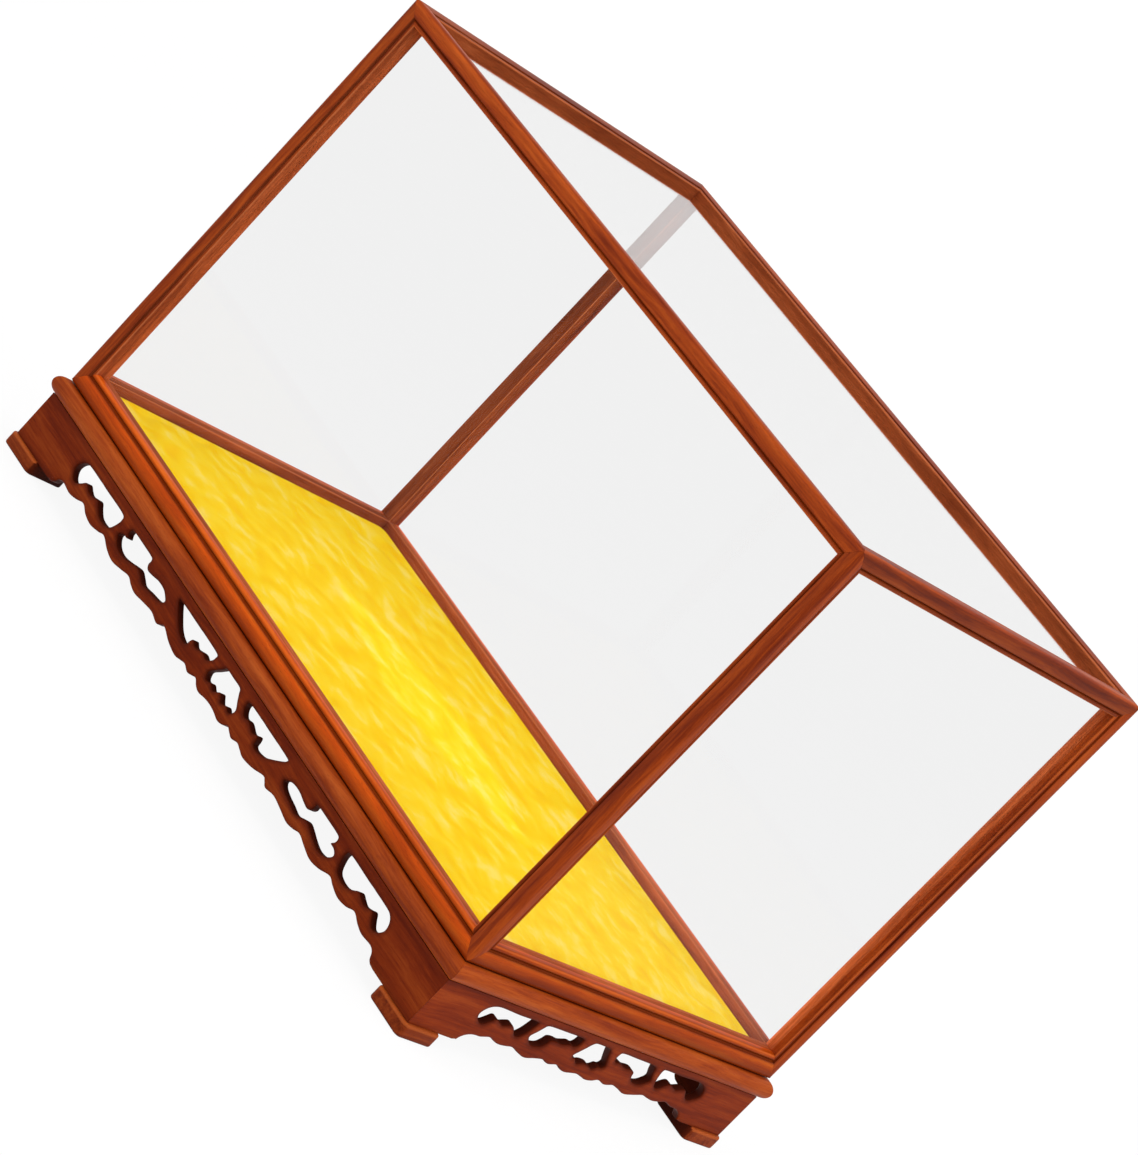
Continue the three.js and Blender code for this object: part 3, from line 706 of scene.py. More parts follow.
# %% Split a section, and store the grain
def split_at_ridge(points, across, up_step):
    """Add points where the outline crosses the line across * a = up_step * b."""
    side = [p[0] * across - p[1] * up_step for p in points]
    tiny = 1e-9
    made, ridge = [], []
    for i, point in enumerate(points):
        following = (i + 1) % len(points)
        here, there = side[i], side[following]
        if abs(here) < tiny and up_step > 0:
            ridge.append(len(made))
        made.append(point)
        if abs(here) >= tiny and abs(there) >= tiny and here * there < 0:
            share = here / (here - there)
            ridge.append(len(made))
            made.append(tuple(p + (q - p) * share for p, q in zip(point, points[following])))
    return made, ridge


board_count = [0]
board_shifts = ((1.37, 5), (0.61, 3), (0.29, 2))


def store_grain(mesh, tone=0.0):
    """Keep each point's place in its own board, shifted so that no two boards look alike."""
    board_count[0] += 1
    shift = Vector([board_count[0] * step % wrap for step, wrap in board_shifts])
    store(mesh, "grain", [v.co + shift for v in mesh.vertices], "FLOAT_VECTOR")
    # The tone lightens or darkens the whole board: a random tone for the feet, painted light by
    # side elsewhere.
    store(mesh, "board_tone", [tone] * len(mesh.vertices))


print("boards so far:", board_count[0])

# %% Run one moulding
def run_moulding(name, points, length, near, far, wood, rise=1, tone=0.0):
    """A moulding along X, centred, its outer faces at y = 0 and z = 0."""
    points, ridge = split_at_ridge(points, *near)
    faces = [list(range(len(points)))]
    if len(ridge) == 2:
        first, second = ridge
        faces = [faces[0][first:second + 1], faces[0][second:] + faces[0][:first + 1]]
    flat = bpy.data.meshes.new("section")
    flat.from_pydata([(0, p[0], rise * p[1]) for p in points], [], faces)
    store(flat, "hollow", [p[2] for p in points])
    source = add_object("section", flat)
    modifier = source.modifiers.new("moulding", "NODES")
    modifier.node_group = moulding_tree
    values = dict(zip(end_steps, (*near, *far)), Length=length, Seam=tight_seam, Wood=wood)
    for socket in moulding_tree.interface.items_tree:
        if socket.in_out == "INPUT" and socket.name in values:
            modifier[socket.identifier] = values[socket.name]
    mesh = plain_mesh(source, name)
    bpy.data.objects.remove(source)
    tidy_faces(mesh)
    store_grain(mesh, tone)
    give_finish(mesh, wood)
    for face in mesh.polygons:
        face.material_index = 0
    return mesh


def plain_inside(mesh, rise=1, tone=0.0):
    """Faces that look into the case get a browner, less polished wood; the browner colour is
    painted light.
    """
    mesh.materials.append(inner_wood)
    board_tone = mesh.attributes["board_tone"].data
    depth = glass_setback + glass_thickness / 2
    mostly, slightly = 0.5, 0.05
    for face in mesh.polygons:
        beyond = rise * face.center.z > depth or face.normal.y > mostly
        inwards = face.normal.y > slightly or rise * face.normal.z > slightly
        if face.center.y > depth and beyond and inwards:
            face.material_index = 1
            for i in face.vertices:
                board_tone[i].value = tone


def set_piece(name, mesh, place, body, node):
    """Move a mesh to its place and let it stand in for a solid."""
    mesh.transform(place)
    piece = add_object(name, mesh)
    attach(piece, body)
    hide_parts(node)


def hood_member(name, node, section, run, near, far, wood, place, rise, tone, inside_light):
    """Run a member of the hood, make it plain inside, and set it in place."""
    mesh = run_moulding(name, section, run, near, far, wood, rise, tone)
    plain_inside(mesh, rise, inside_light)
    set_piece(name, mesh, place, "hood", node)


print("ready to run mouldings")

# %% [markdown]
# ## The hood
#
# At each corner of the hood three members meet, and every one is mitred on both sides. The bottom
# rails are taller on the face than the posts, so their mitres aren't quite at 45 degrees.

# %% Places on the four sides and corners
sides = ("front", "right", "back", "left")
corners = {"front_left": (-1, -1), "front_right": (1, -1), "back_right": (1, 1),
           "back_left": (-1, 1)}


def is_long(side):
    return side in ("front", "back")


def run_along(side, length, width):
    return length if is_long(side) else width


def side_place(side, length, width, z):
    """Where a piece drawn against the front face goes, on each of the four sides."""
    angle = sides.index(side) * math.pi / 2
    reach = run_along(side, width, length) / 2
    shift = Vector((math.sin(angle) * reach, -math.cos(angle) * reach, z))
    return Matrix.Translation(shift) @ Matrix.Rotation(angle, 4, "Z")


def corner_place(corner, length, width, z):
    x, y = corners[corner]
    quarter = list(corners).index(corner)
    shift = Matrix.Translation((x * length / 2, y * width / 2, z))
    return shift @ Matrix.Rotation(quarter * math.pi / 2, 4, "Z")


print("sides:", sides, "corners:", list(corners))

# %% Bottom rails and top rails
# Painted light: each side of the hood's rails, and its faces inside, is made lighter or darker as
# the lamps fall on it.
foot_rail_side_light = {"front": 0.12, "right": -0.3, "back": 0.12, "left": -0.1}
foot_rail_inside_light = {"front": 0.0, "right": 0.0, "back": 0.0, "left": -0.24}
head_rail_side_light = {"front": 0.25, "right": -0.3, "back": -0.06, "left": -0.2}
head_rail_inside_light = {"front": 0.0, "right": 0.0, "back": -0.1, "left": -0.3}
rail_step = (1.0, member_face / bottom_rail_face)
for side in sides:
    run = run_along(side, hood_length, hood_width)
    place = side_place(side, hood_length, hood_width, hood_bottom)
    hood_member(f"hood_foot_rail_{side}", f"bottom_rail_{side}", bottom_section(), run,
                rail_step, rail_step, hood_wood, place, rise=1, tone=foot_rail_side_light[side],
                inside_light=foot_rail_inside_light[side])
    place = side_place(side, hood_length, hood_width, hood_top)
    hood_member(f"hood_head_rail_{side}", f"top_rail_{side}", corner_section(), run,
                (1, 1), (1, 1), post_wood, place, rise=-1, tone=head_rail_side_light[side],
                inside_light=head_rail_inside_light[side])
print("hood rails:", count_made("hood_"))

# %% Posts
upright = Matrix(((0, 1, 0, 0), (0, 0, 1, 0), (1, 0, 0, hood_height / 2), (0, 0, 0, 1)))
# Painted light: each post's outer and inner faces are made lighter or darker as the lamps fall on
# them.
post_side_light = {"front_left": -0.3, "front_right": 0.1, "back_right": 0.05, "back_left": 0.0}
post_inside_light = {"front_left": 0.0, "front_right": 0.0, "back_right": 0.35,
                     "back_left": -0.32}
foot_step = bottom_rail_face / member_face
for corner in corners:
    place = corner_place(corner, hood_length, hood_width, hood_bottom) @ upright
    hood_member(f"hood_upright_{corner}", f"post_{corner}", corner_section(), hood_height,
                (foot_step, foot_step), (1, 1), post_wood, place, rise=1,
                tone=post_side_light[corner], inside_light=post_inside_light[corner])
print("posts:", count_made("hood_upright"))

# %% [markdown]
# ## The stand's top frame
#
# Four rails with a half-round nose, mitred flat. The two long ones are notched below for the
# tongues of the battens, which a boolean cuts, as a chisel would.

# %% Stand rails
def cut_notches(piece):
    bm = bmesh.new()
    size = Vector([v + 2 * seam for v in (batten_width, tongue_length, tongue_thickness)])
    for hand in (-1, 1):
        middle = Vector((hand * batten_spacing / 2, rail_width - tongue_length / 2 + seam / 2,
                         tongue_thickness / 2 - seam))
        place = Matrix.Translation(middle) @ Matrix.Diagonal((*size, 1))
        bmesh.ops.create_cube(bm, size=1, matrix=place)
    cutter_mesh = bpy.data.meshes.new("notches")
    bm.to_mesh(cutter_mesh)
    bm.free()
    cutter = add_object("notches", cutter_mesh)
    source = add_object("notched", piece)
    modifier = source.modifiers.new("notch", "BOOLEAN")
    set_values(modifier, object=cutter, operation="DIFFERENCE", solver="EXACT")
    mesh = plain_mesh(source, piece.name)
    for item in (cutter, source):
        bpy.data.objects.remove(item)
    return mesh


# Painted light: each stand rail is made a little lighter or darker by side.
nose_side_light = {"front": 0.06, "right": 0.05, "back": -0.06, "left": 0.0}
for side in sides:
    name = f"nosed_rail_{side}"
    run = run_along(side, rail_length, rail_span)
    mesh = run_moulding(name, stand_rail_section(), run, (1, 0), (1, 0), rail_wood,
                        tone=nose_side_light[side])
    if is_long(side):
        mesh = cut_notches(mesh)
    set_piece(name, mesh, side_place(side, rail_length, rail_span, rail_bottom),
              "stand", f"stand_rail_{side}")
print("stand rails:", count_made("nosed_rail"))

# %% [markdown]
# ## The pierced aprons
#
# Each apron and its two legs are one board, sawn to a scalloped edge and pierced with cloud and
# bat-wing shapes, then softened along every cut. The tables mark points on the saw's path, as
# shares of the opening between the legs and of the apron's height. Mirror images make the other
# half. A piercing has two ranges, along and up, and its marks are shares of those.

# %% Tables of the sawn outlines
long_edge_shares = [
    (1, 0), (0.988, 0.045), (0.976, 0.148), (0.956, 0.19), (0.913, 0.166), (0.879, 0.21),
    (0.845, 0.283), (0.811, 0.202), (0.772, 0.169), (0.733, 0.217), (0.704, 0.268), (0.66, 0.172),
    (0.617, 0.13), (0.573, 0.181), (0.534, 0.235), (0.505, 0.181), (0.473, 0.15), (0.427, 0.193),
    (0.381, 0.226), (0.342, 0.178), (0.325, 0.232), (0.308, 0.271), (0.262, 0.181), (0.214, 0.136),
    (0.187, 0.172), (0.164, 0.205), (0.138, 0.157), (0.119, 0.19), (0.1, 0.226), (0.08, 0.154),
    (0.058, 0.123), (0.029, 0.157), (0, 0.172)]
short_edge_shares = [
    (1, 0), (0.986, 0.08), (0.959, 0.15), (0.919, 0.193), (0.865, 0.202), (0.829, 0.232),
    (0.793, 0.253), (0.743, 0.208), (0.694, 0.184), (0.64, 0.202), (0.59, 0.223), (0.523, 0.163),
    (0.45, 0.117), (0.378, 0.172), (0.32, 0.205), (0.284, 0.175), (0.248, 0.16), (0.189, 0.202),
    (0.144, 0.145), (0.095, 0.12), (0.045, 0.148), (0, 0.169)]
long_piercings = [
    ((0.694, 0.959), (0.373, 0.795), [
        (0.06, 1), (0, 0.82), (0.02, 0.45), (0.07, 0.14), (0.17, 0.03), (0.28, 0.06),
        (0.37, 0.24), (0.44, 0.42), (0.51, 0.35), (0.59, 0.27), (0.66, 0.34), (0.73, 0.44),
        (0.79, 0.22), (0.86, 0.01), (0.94, 0.08), (1, 0.38), (0.98, 0.72), (0.91, 0.94), (0.8, 1),
        (0.43, 1)]),
    ((0.371, 0.667), (0.343, 0.798), [
        (0.5, 0.99), (0.467, 0.9), (0.464, 0.71), (0.42, 0.56), (0.336, 0.59), (0.22, 0.68),
        (0.107, 0.66), (0.025, 0.52), (0, 0.42), (0.033, 0.28), (0.123, 0.18), (0.238, 0.12),
        (0.352, 0.05), (0.434, 0.17), (0.516, 0.28), (0.6, 0.21), (0.697, 0.09), (0.81, 0),
        (0.91, 0.06), (0.98, 0.24), (1, 0.42), (0.95, 0.55), (0.885, 0.58), (0.91, 0.75),
        (0.91, 0.9), (0.87, 0.99), (0.68, 1)]),
    ((0.097, 0.333), (0.407, 0.81), [
        (0.05, 0.99), (0, 0.84), (0.02, 0.61), (0.093, 0.42), (0.196, 0.48), (0.342, 0.32),
        (0.433, 0.45), (0.464, 0.27), (0.474, 0.07), (0.536, 0), (0.64, 0.06), (0.742, 0.21),
        (0.866, 0.5), (0.969, 0.78), (1, 0.91), (0.96, 0.99), (0.515, 1)])]
long_centre = (0.0825, (0.352, 0.804), [
    (0, 1), (0.47, 0.99), (0.62, 0.83), (0.79, 0.61), (0.97, 0.4), (1, 0.27), (0.91, 0.08),
    (0.765, 0.05), (0.59, 0.13), (0.44, 0.06), (0.3, 0.01), (0.147, 0.12), (0, 0.23)])
short_piercings = [
    ((0.572, 1.004), (0.428, 0.855), [
        (0.05, 0.98), (0, 0.88), (0.02, 0.56), (0.058, 0.25), (0.115, 0.04), (0.19, 0.06),
        (0.26, 0.28), (0.333, 0.42), (0.417, 0.36), (0.5, 0.28), (0.583, 0.37), (0.667, 0.44),
        (0.73, 0.25), (0.8, 0.05), (0.885, 0.06), (0.97, 0.25), (1, 0.49), (0.948, 0.79),
        (0.844, 0.96), (0.7, 1), (0.385, 0.97)]),
    ((0.167, 0.545), (0.383, 0.861), [
        (0.05, 0.99), (0, 0.85), (0.012, 0.64), (0.06, 0.55), (0.155, 0.57), (0.274, 0.49),
        (0.345, 0.46), (0.464, 0.48), (0.56, 0.43), (0.595, 0.25), (0.655, 0.07), (0.774, 0),
        (0.88, 0.04), (0.96, 0.19), (1, 0.36), (0.94, 0.6), (0.893, 0.82), (0.857, 0.94),
        (0.75, 0.98), (0.393, 0.99)])]
short_centre = (0.141, (0.361, 0.858), [
    (0, 1), (0.41, 0.99), (0.57, 0.89), (0.73, 0.66), (0.89, 0.44), (1, 0.28), (0.92, 0.17),
    (0.73, 0.15), (0.6, 0.04), (0.446, 0), (0.22, 0.07), (0, 0.09)])
for length, piercings in (("long", long_piercings), ("short", short_piercings)):
    print("piercings on a", length, "apron:", 2 * len(piercings) + 1)

# %% [markdown]
# A saw leaves a smooth path between the marked points, so a Catmull-Rom curve is run through them.

# %% Smooth paths through marked points
def sawn_path(points, steps=5, closed=True):
    """Points on a smooth path that passes through every marked point."""
    count = len(points)

    def mark(i):
        return Vector(points[i % count if closed else min(max(i, 0), count - 1)])

    path = []
    for i in range(count if closed else count - 1):
        before, start, end, after = (mark(i + k) for k in (-1, 0, 1, 2))
        for j in range(steps):
            t = j / steps
            path.append(0.5 * ((2 * start) + (end - before) * t
                               + (2 * before - 5 * start + 4 * end - after) * t ** 2
                               + (3 * start - before - 3 * end + after) * t ** 3))
    return path if closed else path + [mark(count - 1)]


def stepped_line(start, end, step=0.004):
    """Points from start towards end, without the end itself."""
    count = max(1, round((end - start).length / step))
    return [start.lerp(end, i / count) for i in range(count)]


def apron_outlines(run, edge, piercings, centre):
    """The board's outline, then its piercings, with x along it and y up.

    The second result says how many points of the outline, from the first, are its lower edge.
    """
    half = run / 2
    opening = half - leg_width

    def marks(near, far, low, high, shape, hand=1):
        return [(hand * opening * (near + (far - near) * a),
                 apron_height * (low + (high - low) * u)) for a, u in shape]

    right = [(opening * a, apron_height * u) for a, u in edge]
    lower = sawn_path(right + [(-x, y) for x, y in reversed(right[:-1])], closed=False)
    corner = [Vector((-half, 0)), Vector((-half, apron_height)), Vector((half, apron_height)),
              Vector((half, 0))]
    board = lower[:-1]
    for start, end in zip([lower[-1]] + corner, corner + [lower[0]]):
        board += stepped_line(start, end)
    outlines = [board]
    for (near, far), (low, high), shape in piercings:
        for hand in (-1, 1):
            outlines.append(sawn_path(marks(near, far, low, high, shape, hand)))
    half_share, (low, high), shape = centre
    right = marks(0, half_share, low, high, shape)
    outlines.append(sawn_path(right + [(-x, y) for x, y in reversed(right[1:-1])]))
    return outlines, len(lower)


long_outlines = apron_outlines(apron_length, long_edge_shares, long_piercings, long_centre)
short_outlines = apron_outlines(apron_span, short_edge_shares, short_piercings, short_centre)
print("outlines on a long apron:", len(long_outlines[0]), "a short one:", len(short_outlines[0]))

# %% [markdown]
# Old fret work isn't flat. Every sawn edge was rounded over with a file, and the narrow straps
# between the openings came out like worms, highest in the middle. So a board's face is filled with
# triangles that pass through rings of points along each sawn edge and a grid of points further in,
# and each point then drops by an amount that depends on how near the edge it is. A point is left
# out where another sawn edge is too near.

# %% Round over a pierced board
edge_round = 0.0008
edge_slope_depth = 0.00035
edge_slope_width = 0.0032
ring_reaches = (0.00006, 0.00024, 0.00052, 0.0008, 0.0015)
ring_clearance = 0.93
grid_side = 0.002
grid_clearance = 0.0021


def drop_at(distance):
    """How far the face lies below its full height at a distance from a sawn edge."""
    near = max(0.0, 1 - distance / edge_round)
    slope = max(0.0, 1 - distance / edge_slope_width)
    return edge_round * (1 - math.sqrt(1 - near * near)) + edge_slope_depth * slope * slope


def twice_area(outline):
    """Positive where the outline runs anticlockwise."""
    return sum(a.x * b.y - b.x * a.y for a, b in zip(outline, outline[1:] + outline[:1]))


def edge_rings(outline, count, is_hole):
    """Points inside the wood at small distances from the first points of an outline."""
    hand = 1 if (twice_area(outline) > 0) != is_hole else -1
    rings = []
    for i in range(count):
        along = outline[(i + 1) % len(outline)] - outline[i - 1]
        inward = Vector((-along.y, along.x)).normalized() * hand
        rings += [(outline[i] + inward * reach, reach) for reach in ring_reaches]
    return rings


def distance_finder(points):
    """A function that gives the distance from a point to the nearest of these."""
    tree = kdtree.KDTree(len(points))
    for i, point in enumerate(points):
        tree.insert((point[0], point[1], 0), i)
    tree.balance()
    return lambda point: tree.find((point.x, point.y, 0))[2]


def face_points(outlines, lower_count, from_edge):
    """Points inside a face: rings along its sawn edges, then a grid."""
    inner = []
    for k, outline in enumerate(outlines):
        for point, reach in edge_rings(outline, len(outline) if k else lower_count, k > 0):
            if from_edge(point) > ring_clearance * reach:
                inner.append(point)
    half = max(p.x for p in outlines[0])
    across, rise = round(2 * half / grid_side), round(apron_height / grid_side)
    for i in range(1, across):
        for j in range(1, rise):
            point = Vector((-half + 2 * half * i / across, apron_height * j / rise))
            if from_edge(point) > grid_clearance:
                inner.append(point)
    return inner


print("a face drops by", round(drop_at(0.0) * 1000, 2), "mm at a sawn edge and",
      round(drop_at(0.0015) * 1000, 2), "mm 1.5 mm further in")

# %% Fill and close a pierced board
# How far the painted shade reaches from the piercings, the lower edge, the feet and the rail.
hole_shade_reach = 0.0030
edge_shade_reach = 0.0022
foot_shadow_reach = 0.0040
rail_shadow_reach = 0.0050


def fill_face(outlines, inner):
    """Triangles between the outlines, and where each outline point went among their points."""
    points = [p.to_2d() for outline in outlines for p in outline]
    loops, start = [], 0
    for outline in outlines:
        loop = list(range(start, start + len(outline)))
        loops.append(loop if twice_area(outline) > 0 else loop[::-1])
        start += len(outline)
    only_inside = 1
    found = geometry.delaunay_2d_cdt(points + [p.to_2d() for p in inner], [], loops,
                                     only_inside, 1e-7)
    went = {source: here for here, sources in enumerate(found[3]) for source in sources}
    wood = [triangle for triangle, inside in zip(found[2], found[5]) if list(inside) == [0]]
    return found[0], wood, went


def nearness(distance, reach):
    return max(0.0, 1 - distance / reach)


def painted_shade_at(point, from_lower, from_holes):
    """Painted shade: darker round the piercings, less along the lower edge, above the feet and
    under the rail.
    """
    hole = nearness(from_holes(point), hole_shade_reach)
    edge = nearness(from_lower(point), edge_shade_reach)
    foot = nearness(point.y, foot_shadow_reach)
    top = nearness(apron_height - point.y, rail_shadow_reach)
    return max(0.85 * hole * hole * (3 - 2 * hole), 0.5 * edge * edge, 0.5 * foot, 0.35 * top)


def pierced_board(name, outlines, lower_count):
    """A closed board: two faces, and a wall along each outline. Sawn walls get a second finish."""
    lower, holes = outlines[0][:lower_count], [p for hole in outlines[1:] for p in hole]
    from_edge, from_lower, from_holes = (distance_finder(p) for p in (lower + holes, lower, holes))
    points, triangles, went = fill_face(outlines, face_points(outlines, lower_count, from_edge))
    used = sorted({i for triangle in triangles for i in triangle})
    place = {old: new for new, old in enumerate(used)}
    front = [Vector((points[i].x, points[i].y, apron_thickness / 2 - drop_at(from_edge(points[i]))))
             for i in used]
    back = [Vector((p.x, p.y, -p.z)) for p in front]
    faces = [tuple(place[i] for i in t) for t in triangles]
    faces += [tuple(place[i] + len(front) for i in reversed(t)) for t in triangles]
    walls, start = [], 0
    for k, outline in enumerate(outlines):
        for i in range(len(outline)):
            a, b = place[went[start + i]], place[went[start + (i + 1) % len(outline)]]
            is_sawn = k > 0 or i < lower_count - 1
            walls.append(((a, b, b + len(front), a + len(front)), is_sawn))
        start += len(outline)
    mesh = bpy.data.meshes.new(name)
    mesh.from_pydata(front + back, [], faces + [wall for wall, is_sawn in walls])
    for k, (wall, is_sawn) in enumerate(walls):
        mesh.polygons[len(faces) + k].material_index = 1 if is_sawn else 0
    store(mesh, "hollow", [painted_shade_at(v.co, from_lower, from_holes) for v in mesh.vertices])
    return mesh


long_apron = pierced_board("long apron", *long_outlines)
short_apron = pierced_board("short apron", *short_outlines)
print("faces, long apron:", len(long_apron.polygons), "short apron:", len(short_apron.polygons))

# %% [markdown]
# The boards are stood up, their ends are mitred to meet at the corner, and the sawn faces inside
# the piercings and along the lower edge get a darker finish: polish never reaches them, and dust
# does.

# %% Set the aprons in place
stand_up = Matrix(((1, 0, 0, 0), (0, 0, -1, apron_thickness / 2), (0, 1, 0, 0), (0, 0, 0, 1)))
# Painted light: each apron is made lighter or darker by side.
apron_side_light = {"front": -0.14, "right": 0.0, "back": -0.2, "left": -0.1}
sharp_angle = math.radians(50)


def fit_edges(mesh, half, squeeze=0.012):
    """Bring the upper edge up under the rail, and mitre the ends over their last 12 mm."""
    for vertex in mesh.vertices:
        if vertex.co.z > apron_height - 1e-5:
            vertex.co.z = apron_height + seam - tight_seam
        past = abs(vertex.co.x) - (half - squeeze)
        if past > 0:
            share = (squeeze - vertex.co.y - tight_seam) / squeeze
            vertex.co.x = math.copysign(half - squeeze + past * share, vertex.co.x)


for side in sides:
    name = f"pierced_apron_{side}"
    mesh = (long_apron if is_long(side) else short_apron).copy()
    mesh.name = name
    mesh.transform(stand_up)
    fit_edges(mesh, run_along(side, apron_length, apron_span) / 2)
    tidy_faces(mesh)
    store_grain(mesh, apron_side_light[side])
    mesh.materials.append(apron_wood)
    mesh.materials.append(sawn_wood)
    mesh.shade_smooth()
    mesh.set_sharp_from_angle(angle=sharp_angle)
    set_piece(name, mesh, side_place(side, apron_length, apron_span, apron_bottom),
              "stand", f"apron_{side}")
print("aprons:", count_made("pierced_apron"))

# %% [markdown]
# ## Feet
#
# Each foot is a square block under the corner, a little wider than the legs, with round corners and
# well softened edges. A flat curve makes such a block directly: it is filled, given a thickness and
# a rounded edge, and turned into a mesh.

# %% Make the feet
# Heights of the painted highlight along the upper edge and of the darker band along the bottom.
foot_highlight_drop = 1.6 * foot_softening
foot_dark_rise = 0.0014


def foot_outline(steps=6):
    inner = foot_side / 2 - foot_corner_radius
    outline = []
    for quarter, (x, y) in enumerate(((1, 1), (-1, 1), (-1, -1), (1, -1))):
        for i in range(steps + 1):
            angle = math.pi / 2 * (quarter + i / steps)
            outline.append((x * inner + foot_corner_radius * math.cos(angle),
                            y * inner + foot_corner_radius * math.sin(angle)))
    return outline


def foot_block(name):
    """A square block, centred on z = 0, with softened edges."""
    curve = bpy.data.curves.new(name, "CURVE")
    set_values(curve, dimensions="2D", fill_mode="BOTH", extrude=foot_height / 2 - foot_softening,
               bevel_depth=foot_softening, bevel_resolution=3, offset=-foot_softening)
    outline = foot_outline()
    spline = curve.splines.new("POLY")
    spline.points.add(len(outline) - 1)
    for point, (x, y) in zip(spline.points, outline):
        point.co = (x, y, 0, 1)
    spline.use_cyclic_u = True
    source = add_object(name, curve)
    mesh = plain_mesh(source, name)
    bpy.data.objects.remove(source)
    tidy_faces(mesh)
    for face in mesh.polygons:
        face.use_smooth = abs(face.normal.z) < 0.99
    return mesh


def paint_foot_light(mesh):
    """A painted highlight on the upper edge, painted shade and dirt inside, darker along the
    bottom.
    """
    bm = bmesh.new()
    bm.from_mesh(mesh)
    for height in (foot_height / 2 - foot_highlight_drop, foot_dark_rise - foot_height / 2):
        bmesh.ops.bisect_plane(bm, geom=bm.verts[:] + bm.edges[:] + bm.faces[:], dist=1e-6,
                               plane_co=(0, 0, height), plane_no=(0, 0, 1))
    bm.to_mesh(mesh)
    bm.free()

    def foot_light_at(point):
        if max(point.x, point.y) > foot_side / 2 - foot_softening - 1e-5:
            return 0.9
        if point.z > foot_height / 2 - foot_softening - 1e-5:
            return -0.4
        return 0.4 if point.z < foot_softening - foot_height / 2 else 0.0

    store(mesh, "hollow", [foot_light_at(v.co) for v in mesh.vertices])


foot_length = apron_length + 2 * foot_projection - foot_side
foot_span = apron_span + 2 * foot_projection - foot_side
for i, corner in enumerate(corners):
    name = f"block_foot_{corner}"
    mesh = foot_block(name)
    paint_foot_light(mesh)
    store_grain(mesh, 0.03 * i)
    give_finish(mesh, foot_wood)
    set_piece(name, mesh, corner_place(corner, foot_length, foot_span, foot_height / 2),
              "stand", f"foot_{corner}")
print("feet:", count_made("block_foot"))

# %% [markdown]
# ## Panel, battens and glue blocks
#
# These are plain sawn pieces under the stand, and their solids already have the right shape. They
# keep it and get their own grain: the panel along the case, the battens across it, the blocks
# upright.

# %% Finish the hidden woodwork
for start, finish in (("floor_panel", panel_wood), ("floor_batten_", batten_wood),
                      ("corner_block_", block_wood)):
    print("finished:", refinish(start, finish))

# %% [markdown]
# ## Pad board
#
# The velvet is glued over a thin plywood board. Only its edge can be seen, with the hood off: thin
# layers of pale wood and darker glue lines, which a wave along Z draws.

# %% The plywood recipe
def plywood():
    material, tree, output = new_material("plywood")
    place = own_place(tree)
    layers = add_node(tree, "ShaderNodeTexWave", {"bands_direction": "Z", "wave_profile": "SAW"},
                      Vector=place, Scale=130.0, Distortion=0.6, Detail=2.0, Detail_Scale=0.4)
    fibre = streaks(tree, place, (30, 500, 500), detail=4.0)
    level = maths(tree, "MULTIPLY_ADD", fibre, 0.4, layers.outputs["Fac"])
    tone = add_ramp(tree, level, [(0.2, linear(120, 84, 50)), (0.45, linear(176, 134, 88)),
                                  (1.0, linear(206, 166, 116))])
    surface(tree, output, "BsdfPrincipled", Base_Color=tone, Roughness=0.75,
            Normal=bumped(tree, fibre, strength=0.3, distance=0.0003))
    return material


print("given plywood:", refinish("pad_board", plywood()))

# %% [markdown]
# ## Velvet
#
# The floor is crushed yellow velvet. Its pile leans this way and that, so light patches and deeper
# ones lie side by side, stretched along the case, with a fine nap over everything. Sheen gives the
# soft glow at low angles, and a bump of two sizes gives the crushed patches and the nap.

# %% The velvet recipe
def crushed_velvet():
    material, tree, output = new_material("crushed velvet")
    bent = wandering(tree, own_place(tree), sideways=(0.03, 0.03, 0.0), scale=14.0, detail=3.0)
    patches = streaks(tree, bent, (42, 56, 44), detail=4.0, roughness=0.55)
    nap = streaks(tree, bent, (160, 420, 300), detail=4.0, roughness=0.7)
    tone = add_ramp(tree, maths(tree, "MULTIPLY_ADD", nap, 0.22, patches), [
        (0.43, linear(252, 197, 0)), (0.54, linear(253, 206, 4)), (0.65, linear(254, 214, 32)),
        (0.79, linear(254, 222, 96))])
    height = maths(tree, "MULTIPLY_ADD", nap, 0.2, patches)
    relief = bumped(tree, height, strength=0.2, distance=0.0014)
    surface(tree, output, "BsdfPrincipled", Base_Color=tone, Roughness=0.9, Normal=relief,
            Specular_IOR_Level=0.06, Sheen_Weight=0.12, Sheen_Roughness=0.45,
            Sheen_Tint=linear(255, 214, 60))
    return material


velvet = crushed_velvet()
print("velvet ready")

# %% [markdown]
# ## The padded floor
#
# Thin wadding lies under the velvet, so the pad is flat below, rolls over at its edges and crowns a
# little in the middle. A closed sheet of small squares is drawn first. Then a short cloth
# simulation with a little pressure lets it pucker as glued cloth does, while its underside is held.
# How far a point may move is limited, so that the pad keeps clear of the hood's rails. The pile and
# the wadding stand a little prouder than the closed solid that they replace.

# %% Draw the pad
pad_low, pad_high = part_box("velvet_pad")
pad_half_x = (pad_high.x - pad_low.x) / 2
pad_half_y = (pad_high.y - pad_low.y) / 2
near_edge = (0.0, 0.0011, 0.0024, 0.004, 0.006, 0.0085, 0.0115)
roll_steps = ((0.9, 0.22), (1.0, 0.5), (0.72, 0.84))
top_drop, crown_share = 0.0001, 0.8


def spread(half, count):
    """Places from one edge of the pad to the other, closer together near both edges."""
    inner = half - near_edge[-1]
    low = [step - half for step in near_edge]
    middle = [inner * (2 * i / count - 1) for i in range(1, count)]
    return low + middle + [-v for v in reversed(low)]


